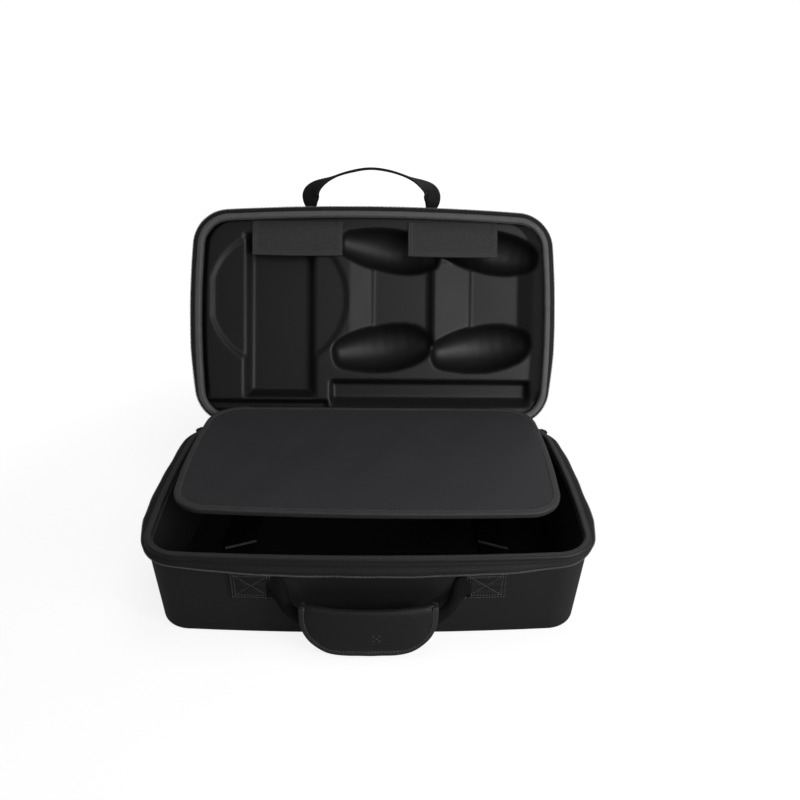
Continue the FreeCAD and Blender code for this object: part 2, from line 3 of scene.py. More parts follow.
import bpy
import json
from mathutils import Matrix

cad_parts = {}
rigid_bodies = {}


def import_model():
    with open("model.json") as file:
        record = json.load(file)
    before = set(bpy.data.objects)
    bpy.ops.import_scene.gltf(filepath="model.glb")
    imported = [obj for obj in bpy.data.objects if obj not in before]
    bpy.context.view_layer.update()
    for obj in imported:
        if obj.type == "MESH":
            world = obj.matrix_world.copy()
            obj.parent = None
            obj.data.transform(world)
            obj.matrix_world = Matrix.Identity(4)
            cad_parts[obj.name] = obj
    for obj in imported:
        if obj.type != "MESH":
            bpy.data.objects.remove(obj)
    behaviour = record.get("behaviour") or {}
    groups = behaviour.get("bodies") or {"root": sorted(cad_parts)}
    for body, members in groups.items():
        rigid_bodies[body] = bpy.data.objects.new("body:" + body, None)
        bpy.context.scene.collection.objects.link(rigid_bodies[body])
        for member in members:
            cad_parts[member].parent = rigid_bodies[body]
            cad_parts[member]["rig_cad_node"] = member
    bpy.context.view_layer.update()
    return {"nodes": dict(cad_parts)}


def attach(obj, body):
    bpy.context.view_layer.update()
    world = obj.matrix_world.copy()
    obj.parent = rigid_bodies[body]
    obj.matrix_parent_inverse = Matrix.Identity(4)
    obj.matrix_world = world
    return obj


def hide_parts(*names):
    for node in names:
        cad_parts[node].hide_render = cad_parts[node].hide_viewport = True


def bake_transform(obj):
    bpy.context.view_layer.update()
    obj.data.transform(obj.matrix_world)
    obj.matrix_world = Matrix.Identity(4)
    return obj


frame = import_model()

import json
import logging
import math
from collections.abc import Sequence
from dataclasses import dataclass
from enum import Enum
from typing import TypeAlias

import bmesh
import bpy
import numpy as np
from mathutils import Matrix, Vector

LOG = logging.getLogger("case")
MM = 0.001
Link: TypeAlias = "Value | float"


class Value:
    """A shader socket that takes part in Python arithmetic."""

    def __init__(self, pad: "NodePad", socket: bpy.types.NodeSocket) -> None:
        """Keep the node tree's pad and the socket."""
        self.pad = pad
        self.socket = socket

    def _math(self, operation: str, other: "Link" = 0.0, swap: bool = False) -> "Value":
        """Add one Math node.

        Args:
            operation: Name of the Math node's operation.
            other: Second operand.
            swap: Whether the second operand comes first.

        Returns:
            The node's result.
        """
        pair = (other, self) if swap else (self, other)
        return self.pad.node("ShaderNodeMath", {"operation": operation}, {0: pair[0], 1: pair[1]})

    def __add__(self, other: "Link") -> "Value":
        """Sum."""
        return self._math("ADD", other)

    __radd__ = __add__

    def __sub__(self, other: "Link") -> "Value":
        """Difference."""
        return self._math("SUBTRACT", other)

    def __rsub__(self, other: "Link") -> "Value":
        """Difference with a number on the left."""
        return self._math("SUBTRACT", other, True)

    def __mul__(self, other: "Link") -> "Value":
        """Product."""
        return self._math("MULTIPLY", other)

    __rmul__ = __mul__

    def __abs__(self) -> "Value":
        """Size without its sign."""
        return self._math("ABSOLUTE")

    def sine(self) -> "Value":
        """Sine of an angle in radians."""
        return self._math("SINE")

    def wave(self, height: float) -> "Value":
        """Triangle wave between 0 and a height, with its foot at each even multiple."""
        return self._math("PINGPONG", height)

    def larger(self, other: "Link") -> "Value":
        """The larger of two values."""
        return self._math("MAXIMUM", other)

    def ramp(self, low: float, high: float) -> "Value":
        """Smooth step from 0 at low to 1 at high."""
        inputs = {"Value": self, "From Min": low, "From Max": high}
        return self.pad.node("ShaderNodeMapRange", {"interpolation_type": "SMOOTHSTEP"}, inputs)


class NodePad:
    """Adds nodes to the tree of one new material or world."""

    def __init__(self, owner: bpy.types.Material | bpy.types.World, kind: str = "Material") -> None:
        """Start the tree of a material, or of another kind, with its output alone."""
        owner.use_nodes = True
        self.owner = owner
        self.tree = owner.node_tree
        self.tree.nodes.clear()
        self.output = self.tree.nodes.new("ShaderNodeOutput" + kind)

    def close(self, shader: Value) -> bpy.types.Material | bpy.types.World:
        """Join a shader to the output."""
        self.tree.links.new(shader.socket, self.output.inputs["Surface"])
        return self.owner

    def node(self, kind: str, settings: dict, inputs: dict, output: int | str = 0) -> Value:
        """Add a node.

        Args:
            kind: Blender's name of the node type.
            settings: Attributes of the node, set before its sockets.
            inputs: Value or link for each socket, by name or index.
            output: Name or index of the socket that is wanted.

        Returns:
            The wanted output socket.
        """
        made = self.tree.nodes.new(kind)
        for key, setting in settings.items():
            setattr(made, key, setting)
        for key, given in inputs.items():
            if isinstance(given, Value):
                self.tree.links.new(given.socket, made.inputs[key])
            else:
                made.inputs[key].default_value = given
        return Value(self, made.outputs[output])

    def ray(self, question: str) -> Value:
        """1 for the rays that are meant, 0 for the others."""
        return self.node("ShaderNodeLightPath", {}, {}, question)

    def spot(self) -> Value:
        """Place on the piece, in metres of the shared frame."""
        return self.node("ShaderNodeTexCoord", {}, {}, "Object")

    def split(self, vector: Value) -> tuple[Value, Value, Value]:
        """The three parts of a vector."""
        first = self.node("ShaderNodeSeparateXYZ", {}, {0: vector})
        return tuple(Value(self, socket) for socket in first.socket.node.outputs)

    def cloth_uv(self) -> tuple[Value, Value]:
        """Place along and across a band of cloth, in metres."""
        u, v, _ = self.split(self.node("ShaderNodeUVMap", {"uv_map": "UVMap"}, {}))
        return u, v

    def noise(self, at: Value, scale: float, detail: float = 2.0) -> Value:
        """Cloudy noise between 0 and 1.

        Args:
            at: Place to read it at.
            scale: Clouds in a metre.
            detail: Octaves of finer clouds.

        Returns:
            The noise.
        """
        inputs = {"Vector": at, "Scale": scale, "Detail": detail}
        return self.node("ShaderNodeTexNoise", {}, inputs, "Fac")

    def blend(self, share: Value, first: Value | Sequence[float], second: Sequence[float]) -> Value:
        """Colour between two colours."""
        start = first if isinstance(first, Value) else (*first, 1.0)
        return self.node("ShaderNodeMix", {"data_type": "RGBA"}, {0: share, 6: start, 7: (*second, 1.0)}, 2)

    def surface(self, colour: Value, roughness: Value, relief: Value, depth: float,
                **fixed: float) -> bpy.types.Material:
        """Join everything in the main shader.

        Args:
            colour: Base colour.
            roughness: Roughness.
            relief: Height of the surface, from 0 to about 1.
            depth: Height in metres that a relief of 1 stands for.
            **fixed: Values of other sockets, with underscores for spaces.

        Returns:
            The finished material.
        """
        bump = self.node("ShaderNodeBump", {}, {"Height": relief, "Distance": depth, "Strength": 1.0})
        inputs = {"Base Color": colour, "Roughness": roughness, "Normal": bump}
        inputs.update({key.replace("_", " "): number for key, number in fixed.items()})
        return self.close(self.node("ShaderNodeBsdfPrincipled", {}, inputs))


class Weave(Enum):
    """How the threads of a cloth run."""

    PLAIN = "plain"
    RIB = "ribs across the band"
    CORD = "ribs along the band"
    CHEVRON = "chevrons"


@dataclass(frozen=True)
class Finish:
    """A procedural finish for one of the record's material slots."""

    name: str
    slot: str
    colour: tuple[float, float, float]

    def tint(self, factor: float, lift: float = 0.0) -> tuple[float, ...]:
        """The colour made darker or lighter."""
        return tuple(min(1.0, factor * part + lift) for part in self.colour)

    def material(self) -> bpy.types.Material:
        """The finish's material, which is made when it is first asked for."""
        if self.name in bpy.data.materials:
            return bpy.data.materials[self.name]
        return self.paint(NodePad(bpy.data.materials.new(self.name)))

    def paint(self, pad: NodePad) -> bpy.types.Material:
        """Lay out the nodes of the finish.

        Args:
            pad: New material to fill.

        Returns:
            The finished material.
        """
        raise NotImplementedError


@dataclass(frozen=True)
class Cloth(Finish):
    """A woven finish that follows a piece's own UV map, which is in metres."""

    weave: Weave
    pitch: float
    depth: float
    roughness: float = 0.75
    sheen: float = 0.25
    gloss: float = 0.5
    # fold: place across the band of a painted highlight, a light line where the binding's folded top catches
    # the light; 0 for none.
    fold: float = 0.0
    speckle: float = 0.0

    def height(self, u: Value, v: Value) -> Value:
        """Height of the threads between 0 and 1.

        Args:
            u: Place along the band.
            v: Place across the band.

        Returns:
            The height.
        """
        turn = math.tau / self.pitch
        if self.weave is Weave.RIB:
            return abs((u * (turn / 2)).sine()) * (0.85 + 0.15 * (v * turn).sine())
        if self.weave is Weave.CORD:
            return abs((v * (turn / 2)).sine()) * (0.8 + 0.2 * (u * turn).sine())
        if self.weave is Weave.CHEVRON:
            return 0.5 + 0.5 * ((u + v.wave(self.pitch * 2)) * turn).sine()
        return 0.5 + 0.5 * (u * turn).sine() * (v * turn).sine()

    def paint(self, pad: NodePad) -> bpy.types.Material:
        """Lay out threads, fuzz and lint, with a painted highlight along the fold where the cloth has one.
        """
        u, v = pad.cloth_uv()
        threads = self.height(u, v)
        spot = pad.spot()
        cloudy = pad.noise(spot, 90.0, 3.0)
        fuzz = pad.noise(spot, 2600.0, 2.0)
        lint = pad.noise(spot, 420.0, 1.0).ramp(0.73, 0.80)
        # Tone: painted shade darkens the grooves between the threads; the clouds are the cloth's own uneven
        # tone.
        shade = (0.25 + 0.45 * threads + 0.3 * cloudy).ramp(0.15, 0.95)
        light = self.tint(1.35, 0.002)
        tone = shade * 0.85 + lint * 0.25
        if self.speckle:
            tone = tone * (1.0 - self.speckle) + self.speckle * pad.noise(spot, 750.0, 2.0).ramp(0.3, 0.7)
        # Painted highlight: a light line along the folded top of the binding, where it catches the light.
        if self.fold:
            tone = tone * 0.25 + 0.75 * (1.0 - abs(v - self.fold).ramp(1.6 * MM, 3.4 * MM))
            light = self.tint(3.4)
        colour = pad.blend(tone, self.tint(0.62), light)
        rough = self.roughness + 0.12 * (fuzz - 0.5) + 0.08 * (cloudy - 0.5)
        return pad.surface(colour, rough, threads * 0.8 + fuzz * 0.35, self.depth,
                           Sheen_Weight=self.sheen, Sheen_Roughness=0.45, Specular_IOR_Level=self.gloss)


@dataclass(frozen=True)
class Nap(Finish):
    """A brushed or non-woven finish that is read from the place on the piece."""

    grain: float
    depth: float
    roughness: float = 0.8
    sheen: float = 0.35
    # Whether the inner side of the base's wall is darkened with painted shade.
    painted_inner_shade: bool = False
    gloss: float = 0.5

    @staticmethod
    def inner_side(pad: NodePad, spot: Value) -> Value:
        """Share between 0 on the outer and 1 on the inner side of the base's wall, where shade is painted.
        """
        x, y, z = pad.split(spot)
        inset = (CASE.rim * MM - z) * (CASE.base_draft / CASE.rim) + CASE.base_wall / 2 * MM
        corner = SHELL.corner * MM
        bow_x = y * y * (SHELL.side_rise / MM / (SHELL.depth / 2) ** 2)
        bow_y = x * x * (SHELL.front_rise / MM / (SHELL.width / 2) ** 2)
        over_x = (abs(x) + bow_x + inset - (SHELL.width / 2 * MM - corner)).larger(0.0)
        over_y = (abs(y) + bow_y + inset - (SHELL.depth / 2 * MM - corner)).larger(0.0)
        within = corner**2 - (over_x * over_x + over_y * over_y)
        return within.ramp(-0.00003, 0.00003) * z.ramp(2.0 * MM, 3.0 * MM)

    def paint(self, pad: NodePad) -> bpy.types.Material:
        """Lay out the nap and its lint, with painted shade on the inner side of the wall where the piece
        asks for it.
        """
        spot = pad.spot()
        fine = pad.noise(spot, self.grain, 3.0)
        broad = pad.noise(spot, 24.0, 3.0)
        lint = pad.noise(spot, 500.0, 1.0).ramp(0.74, 0.80)
        colour = pad.blend(fine * 0.55 + broad * 0.45 + lint * 0.2, self.tint(0.78), self.tint(1.28))
        rough = self.roughness + 0.14 * (fine - 0.5) + 0.1 * (broad - 0.5)
        if self.painted_inner_shade:
            # Painted shade: the inside of the open base lies in shadow, so the inner side of its wall is
            # darkened to six hundredths of its colour.
            inside = self.inner_side(pad, spot)
            colour = pad.blend(inside, colour, self.tint(0.06))
            rough = rough + 0.4 * inside
        return pad.surface(colour, rough, fine * 0.8 + broad * 0.2, self.depth,
                           Sheen_Weight=self.sheen, Sheen_Roughness=0.5, Specular_IOR_Level=self.gloss)


@dataclass(frozen=True)
class Enamel(Finish):
    """Black painted metal, rubbed bright in places."""

    roughness: float = 0.38
    rubbed: tuple[float, float, float] = (0.16, 0.16, 0.165)

    def paint(self, pad: NodePad) -> bpy.types.Material:
        """Lay out the paint and its rubbed places."""
        spot = pad.spot()
        wear = pad.noise(spot, 320.0, 4.0).ramp(0.58, 0.78)
        speck = pad.noise(spot, 1900.0, 2.0)
        colour = pad.blend(wear * 0.5, self.colour, self.rubbed)
        rough = self.roughness + 0.15 * (speck - 0.5) - 0.1 * wear
        return pad.surface(colour, rough, speck, 0.00004, Metallic=0.35)


@dataclass(frozen=True)
class Thread(Finish):
    """Twisted sewing thread or moulded zip teeth."""

    roughness: float = 0.55

    def paint(self, pad: NodePad) -> bpy.types.Material:
        """Lay out the twist."""
        twist = pad.noise(pad.spot(), 1500.0, 2.0)
        colour = pad.blend(twist, self.tint(0.7), self.tint(1.25))
        return pad.surface(colour, self.roughness + 0.2 * (twist - 0.5), twist, 0.1 * MM)


SHELL_CLOTH = Nap(
    "shell_cloth", "shell_fabric", (0.014, 0.014, 0.0145),
    grain=1500.0, depth=0.00012, roughness=0.5, sheen=0.03)
# The base's cloth, with painted shade on the inner side of its wall.
BASE_CLOTH = Nap(
    "base_cloth", "shell_fabric", (0.014, 0.014, 0.0145),
    grain=1500.0, depth=0.00012, roughness=0.5, sheen=0.03, painted_inner_shade=True)
TRAY_VELOUR = Nap(
    "tray_velour", "tray_lining", (0.0045, 0.0044, 0.0042),
    grain=1900.0, depth=0.0001, roughness=0.5, sheen=0.0, painted_inner_shade=False, gloss=0.75)
DIVIDER_SKIN = Nap(
    "divider_skin", "divider_cover", (0.044, 0.045, 0.049),
    grain=2400.0, depth=0.00005, roughness=0.6, sheen=0.04)
GRIP_CLOTH = Nap(
    "grip_cloth", "grip_fabric", (0.015, 0.015, 0.0145),
    grain=1700.0, depth=0.00012, roughness=0.6, sheen=0.03)
# The base's binding tape carries a painted highlight along its folded top (fold).
BINDING_TAPE = Cloth(
    "binding_tape", "binding_fabric", (0.015, 0.015, 0.015),
    weave=Weave.RIB, pitch=1.5 * MM, depth=0.0002, roughness=0.42, sheen=0.06, fold=6.6 * MM)
# Painted light: the same binding tape as the base's, made about ten times lighter because the lid's binding
# faces the light.
LID_BINDING_PAINTED_LIGHT = Cloth(
    "lid_binding_painted_light", "binding_fabric", (0.145, 0.143, 0.141),
    weave=Weave.RIB, pitch=1.5 * MM, depth=0.0002, roughness=0.4, sheen=0.1)
DIVIDER_EDGING = Cloth(
    "divider_edging", "binding_fabric", (0.06, 0.06, 0.061),
    weave=Weave.RIB, pitch=1.5 * MM, depth=0.0002, roughness=0.45, sheen=0.06)
HEM_TAPE = Cloth(
    "hem_tape", "grip_fabric", (0.03, 0.03, 0.03),
    weave=Weave.RIB, pitch=1.3 * MM, depth=0.0002, roughness=0.5, sheen=0.06)
# Painted shade: a darker, duller copy of the handle webbing for the strap's ends, which stand in shadow
# beside the wall.
STRAP_WEB_PAINTED_SHADE = Cloth(
    "strap_webbing", "webbing", (0.007, 0.007, 0.0072),
    weave=Weave.CHEVRON, pitch=2.2 * MM, depth=0.0003, roughness=0.8, sheen=0.0, gloss=0.2)
ZIP_TAPE = Cloth(
    "zip_tape_cloth", "zip_tape", (0.010, 0.010, 0.0103),
    weave=Weave.CHEVRON, pitch=1.4 * MM, depth=0.0002, roughness=0.6, sheen=0.05)
WEBBING = Cloth(
    "handle_webbing", "webbing", (0.009, 0.009, 0.0094),
    weave=Weave.CHEVRON, pitch=2.2 * MM, depth=0.0004, roughness=0.6, sheen=0.02)
FLOOR_WEBBING = Cloth(
    "floor_webbing_cloth", "floor_webbing", (0.006, 0.006, 0.0062),
    weave=Weave.PLAIN, pitch=1.8 * MM, depth=0.0003, roughness=0.8, sheen=0.0, gloss=0.2)
FLAP_ELASTIC = Cloth(
    "flap_elastic", "flap_fabric", (0.055, 0.054, 0.0555),
    weave=Weave.CORD, pitch=1.7 * MM, depth=0.0004, roughness=0.6, sheen=0.1, speckle=0.5)
FLOOR_HEM = Cloth(
    "floor_hem_tape", "floor_webbing", (0.16, 0.16, 0.16),
    weave=Weave.RIB, pitch=1.3 * MM, depth=0.0002, roughness=0.5, sheen=0.1)
# Painted shade: a darker copy of the hinge fabric for the divider's strip, whose visible part lies in
# shadow.
HINGE_CLOTH_PAINTED_SHADE = Cloth(
    "hinge_cloth", "hinge_fabric", (0.006, 0.006, 0.0062),
    weave=Weave.PLAIN, pitch=1.1 * MM, depth=0.0002, roughness=0.85, sheen=0.0, gloss=0.2)
HINGE_STRIP = Cloth(
    "hinge_strip_cloth", "hinge_fabric", (0.013, 0.013, 0.0132),
    weave=Weave.RIB, pitch=1.4 * MM, depth=0.0003, roughness=0.7, sheen=0.05)
SLIDER_ENAMEL = Enamel("slider_enamel", "slider_metal", (0.02, 0.02, 0.021))
SEWING_THREAD = Thread("sewing_thread", "webbing", (0.16, 0.16, 0.162))
ZIP_TEETH = Thread(
    "zip_teeth", "zip_tape", (0.2, 0.2, 0.2),
    roughness=0.35)


def turn_about_x(points: np.ndarray, y: float, z: float, degrees: float) -> np.ndarray:
    """Turn points about a line along X.

    Args:
        points: Array whose last axis is x, y, z.
        y: Y of the line.
        z: Z of the line.
        degrees: Angle by the right-hand rule.

    Returns:
        The turned points.
    """
    c, s = math.cos(math.radians(degrees)), math.sin(math.radians(degrees))
    dy, dz = points[..., 1] - y, points[..., 2] - z
    return np.stack([points[..., 0], y + c * dy - s * dz, z + s * dy + c * dz], axis=-1)


@dataclass(frozen=True)
class CaseFrame:
    """Sizes that the pieces share, in millimetres, and the places of the lid and the divider."""

    rim: float = 94.0
    hinge_y: float = 123.5
    open_angle: float = 115.3
    divider_back: float = 14.0
    divider_depth: float = 2.0
    divider_tilt: float = -1.2
    lid_height: float = 65.0
    base_draft: float = 6.0
    lid_draft: float = 5.0
    base_wall: float = 4.0
    lid_wall: float = 4.0

    def mirrored(self, points: np.ndarray) -> np.ndarray:
        """Mirror points of the base's edge in the parting plane, onto the closed lid."""
        return points * np.array([1, 1, -1]) + np.array([0, 0, 2 * self.rim])

    def on_lid(self, points: np.ndarray) -> np.ndarray:
        """Swing points of the closed lid open."""
        return turn_about_x(points, self.hinge_y, self.rim, -self.open_angle)

    def on_divider(self, points: np.ndarray) -> np.ndarray:
        """Lay points of the folded divider down."""
        axis = self.on_lid(np.array([0.0, self.hinge_y - self.divider_back, self.rim + self.divider_depth]))
        return turn_about_x(self.on_lid(points), axis[1], axis[2], self.open_angle - self.divider_tilt)

    def tray_point(self, x: np.ndarray, along: np.ndarray, depth: np.ndarray) -> np.ndarray:
        """Points of the open lid from x, the distance from the hinge line and the depth in the lid."""
        return self.on_lid(np.stack([x, self.hinge_y - along, self.rim + depth], axis=-1))


CASE = CaseFrame()


@dataclass(frozen=True)
class Outline:
    """Rounded rectangle with a bowed front, bowed sides and a straight back, in millimetres."""

    width: float
    depth: float
    corner: float
    front_rise: float
    side_rise: float
    middle_y: float = 0.0

    @property
    def front_radius(self) -> float:
        """Radius of the bowed front."""
        return (self.width**2 / 4 + self.front_rise**2) / (2 * self.front_rise)

    @property
    def side_radius(self) -> float:
        """Radius of the bowed sides."""
        return (self.depth**2 / 4 + self.side_rise**2) / (2 * self.side_rise)

    def corners(self) -> tuple[np.ndarray, np.ndarray, np.ndarray, np.ndarray]:
        """Centres of the front, of the right side and of its front and rear corners."""
        front = np.array([0.0, self.middle_y - self.depth / 2 + self.front_radius])
        side = np.array([self.width / 2 - self.side_radius, self.middle_y])
        front_reach, reach = self.front_radius - self.corner, self.side_radius - self.corner
        across = side - front
        gap = float(np.linalg.norm(across))
        along = (front_reach**2 - reach**2 + gap**2) / (2 * gap)
        aside = math.sqrt(front_reach**2 - along**2)
        toward = across / gap
        normal = np.array([toward[1], -toward[0]])
        pair = [front + toward * along + normal * aside * sign for sign in (1, -1)]
        rear_y = self.middle_y + self.depth / 2 - self.corner
        rear = np.array([side[0] + math.sqrt(reach**2 - (rear_y - self.middle_y) ** 2), rear_y])
        return front, side, min(pair, key=lambda point: point[1]), rear

    def path(self, step: float) -> np.ndarray:
        """Points and outward normals from the middle of the back, round the left and the front, to the back.

        Args:
            step: Distance between points on the bowed sides.

        Returns:
            Array of x, y, normal x, normal y.
        """
        front, side, front_corner, rear_corner = self.corners()
        arms = (front_corner - front, front_corner - side, rear_corner - side)
        first, second, third = (math.atan2(arm[1], arm[0]) for arm in arms)
        runs = [
            (front, self.front_radius, -math.pi / 2, first, step),
            (front_corner, self.corner, first, second, step / 3),
            (side, self.side_radius, second, third, step),
            (rear_corner, self.corner, third, math.pi / 2, step / 3),
        ]
        half = []
        for centre, radius, start, end, pace in runs:
            count = max(3, math.ceil(radius * (end - start) / pace))
            for angle in np.linspace(start, end, count, endpoint=False):
                normal = (math.cos(angle), math.sin(angle))
                half.append((centre[0] + radius * normal[0], centre[1] + radius * normal[1], *normal))
        count = max(3, math.ceil(rear_corner[0] / step))
        for x in np.linspace(rear_corner[0], 0.0, count):
            half.append((x, self.middle_y + self.depth / 2, 0.0, 1.0))
        right = np.array(half)
        left = right[::-1] * np.array([-1, 1, -1, 1])
        return np.concatenate([left[:-1], right])

    def plate(self, inset: float, rows: int, columns: int) -> tuple[np.ndarray, np.ndarray]:
        """Grid of points that fills the outline, moved inwards by inset.

        Args:
            inset: Distance from the outline.
            rows: Rows from back to front.
            columns: Points in a row.

        Returns:
            X and Y of each point.
        """
        path = self.path(2.0)
        edge = path[:, :2] - path[:, 2:] * inset
        right = edge[len(edge) // 2:]
        rear = self.middle_y + self.depth / 2 - inset
        radius = self.front_radius - inset
        front_y = self.middle_y - self.depth / 2 + inset

        def front(x: np.ndarray) -> np.ndarray:
            """Y of the bowed front."""
            return front_y + radius - np.sqrt(radius**2 - x**2)

        share = (rear - right[:, 1]) / (rear - front(right[:, 0]))
        inside = (share > 1e-6) & (share < 1 - 1e-6)
        order = np.argsort(share[inside])
        turn = np.linspace(0.0, math.pi, rows)
        row = 0.6 * (0.5 - 0.5 * np.cos(turn)) + 0.4 * np.linspace(0, 1, rows)
        reach = np.interp(row, share[inside][order], right[inside][order, 0])
        x = np.linspace(-1, 1, columns)[None, :] * reach[:, None]
        y = rear - row[:, None] * (rear - front(x))
        return x, y


SHELL = Outline(width=410.0, depth=241.0, corner=36.0, front_rise=7.8, side_rise=7.0)


def front_bow(x: np.ndarray | float) -> np.ndarray | float:
    """How far the bowed front lies behind its foremost point at x, in millimetres."""
    radius = SHELL.front_radius
    return radius - np.sqrt(radius**2 - np.square(x))


def front_wall(x: np.ndarray | float, z: np.ndarray | float) -> np.ndarray | float:
    """Y of the base's front wall at x and z, in millimetres."""
    draft = CASE.base_draft * (CASE.rim - z) / CASE.rim
    return -SHELL.depth / 2 + draft + front_bow(x)


def add_object(name: str, data: bpy.types.ID) -> bpy.types.Object:
    """Link a new object to the scene."""
    made = bpy.data.objects.new(name, data)
    bpy.context.scene.collection.objects.link(made)
    return made


def shade_smooth(mesh: bpy.types.Mesh) -> bpy.types.Mesh:
    """Smooth the shading of a mesh."""
    mesh.polygons.foreach_set("use_smooth", [True] * len(mesh.polygons))
    return mesh


def unit(vectors: np.ndarray) -> np.ndarray:
    """Vectors of length one."""
    return vectors / np.linalg.norm(vectors, axis=-1, keepdims=True)


def bunched(count: int) -> np.ndarray:
    """Shares from -1 to 1 that lie closer together near both ends."""
    return np.sin(np.linspace(-math.pi / 2, math.pi / 2, count))


def bulge(wave: np.ndarray, power: float) -> np.ndarray:
    """A sine or cosine raised to a power with its sign kept, for rounded sections."""
    return np.sign(wave) * np.abs(wave) ** power


def fix_normals(mesh: bpy.types.Mesh) -> None:
    """Turn the faces of a closed mesh outwards."""
    work = bmesh.new()
    work.from_mesh(mesh)
    bmesh.ops.recalc_face_normals(work, faces=work.faces)
    work.to_mesh(mesh)
    work.free()


def mesh_from(name: str, points: np.ndarray, faces: list, uvs: list) -> bpy.types.Object:
    """Closed mesh object from millimetre points.

    Args:
        name: Name of the piece.
        points: Flat array of points.
        faces: Tuples of point numbers.
        uvs: One list of UV pairs for each face, in millimetres.

    Returns:
        The object, in metres.
    """
    mesh = bpy.data.meshes.new(name)
    mesh.from_pydata((points * MM).tolist(), [], faces)
    layer = mesh.uv_layers.new(name="UVMap")
    flat = [number * MM for face in uvs for pair in face for number in pair]
    layer.data.foreach_set("uv", flat)
    fix_normals(mesh)
    mesh.update()
    return add_object(name, shade_smooth(mesh))


def tube(name: str, rings: np.ndarray, along: np.ndarray, loop: bool) -> bpy.types.Object:
    """Closed piece from rings of points.

    Args:
        name: Name of the piece.
        rings: Array of rings by points by x, y, z.
        along: Distance of each ring along the piece, for the UV map.
        loop: Whether the last ring joins the first.

    Returns:
        The object.
    """
    count, size = rings.shape[:2]
    girth = np.linalg.norm(np.roll(rings, -1, axis=1) - rings, axis=2).mean(axis=0)
    around = np.concatenate([[0.0], np.cumsum(girth)])
    ends = np.append(along, along[-1] + np.linalg.norm(rings[0] - rings[-1], axis=1).mean())
    faces, uvs = [], []
    for i in range(count if loop else count - 1):
        k = (i + 1) % count
        for j in range(size):
            n = (j + 1) % size
            faces.append((i * size + j, k * size + j, k * size + n, i * size + n))
            u, w = ends[i], ends[i + 1]
            uvs.append([(u, around[j]), (w, around[j]), (w, around[j + 1]), (u, around[j + 1])])
    if not loop:
        for start in (0, (count - 1) * size):
            faces.append(tuple(range(start, start + size)))
            uvs.append([(0.0, around[j]) for j in range(size)])
    return mesh_from(name, rings.reshape(-1, 3), faces, uvs)


def slab(name: str, face: np.ndarray, back: np.ndarray, uv: np.ndarray) -> bpy.types.Object:
    """Closed sheet between two grids of points.

    Args:
        name: Name of the piece.
        face: Grid of points on the showing side.
        back: Grid of points on the other side.
        uv: UV pair of each point, in millimetres.

    Returns:
        The object.
    """
    rows, columns = face.shape[:2]
    half = rows * columns
    flat_uv = np.concatenate([uv.reshape(-1, 2)] * 2).tolist()
    faces = []
    for i in range(rows - 1):
        for j in range(columns - 1):
            a, b = i * columns + j, (i + 1) * columns + j
            faces.append((a, b, b + 1, a + 1))
            faces.append((a + half, a + 1 + half, b + 1 + half, b + half))
    rim = list(range(columns))
    rim += [i * columns + columns - 1 for i in range(1, rows)]
    rim += [(rows - 1) * columns + j for j in range(columns - 2, -1, -1)]
    rim += [i * columns for i in range(rows - 2, 0, -1)]
    for here, there in zip(rim, rim[1:] + rim[:1]):
        faces.append((here, there, there + half, here + half))
    points = np.concatenate([face.reshape(-1, 3), back.reshape(-1, 3)])
    return mesh_from(name, points, faces, [[flat_uv[n] for n in f] for f in faces])


def dress(piece: bpy.types.Object, finish: Finish) -> None:
    """Give a piece its finish."""
    material = finish.material()
    if piece.data.materials:
        for index in range(len(piece.data.materials)):
            piece.data.materials[index] = material
    else:
        piece.data.materials.append(material)
    LOG.info("%s dressed in %s", piece.name, finish.name)


def fit(pieces: Sequence[bpy.types.Object], body: str, node: str) -> None:
    """Let pieces ride on a body and stand for a node of the part."""
    for piece in pieces:
        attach(piece, body)
        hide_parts(node)


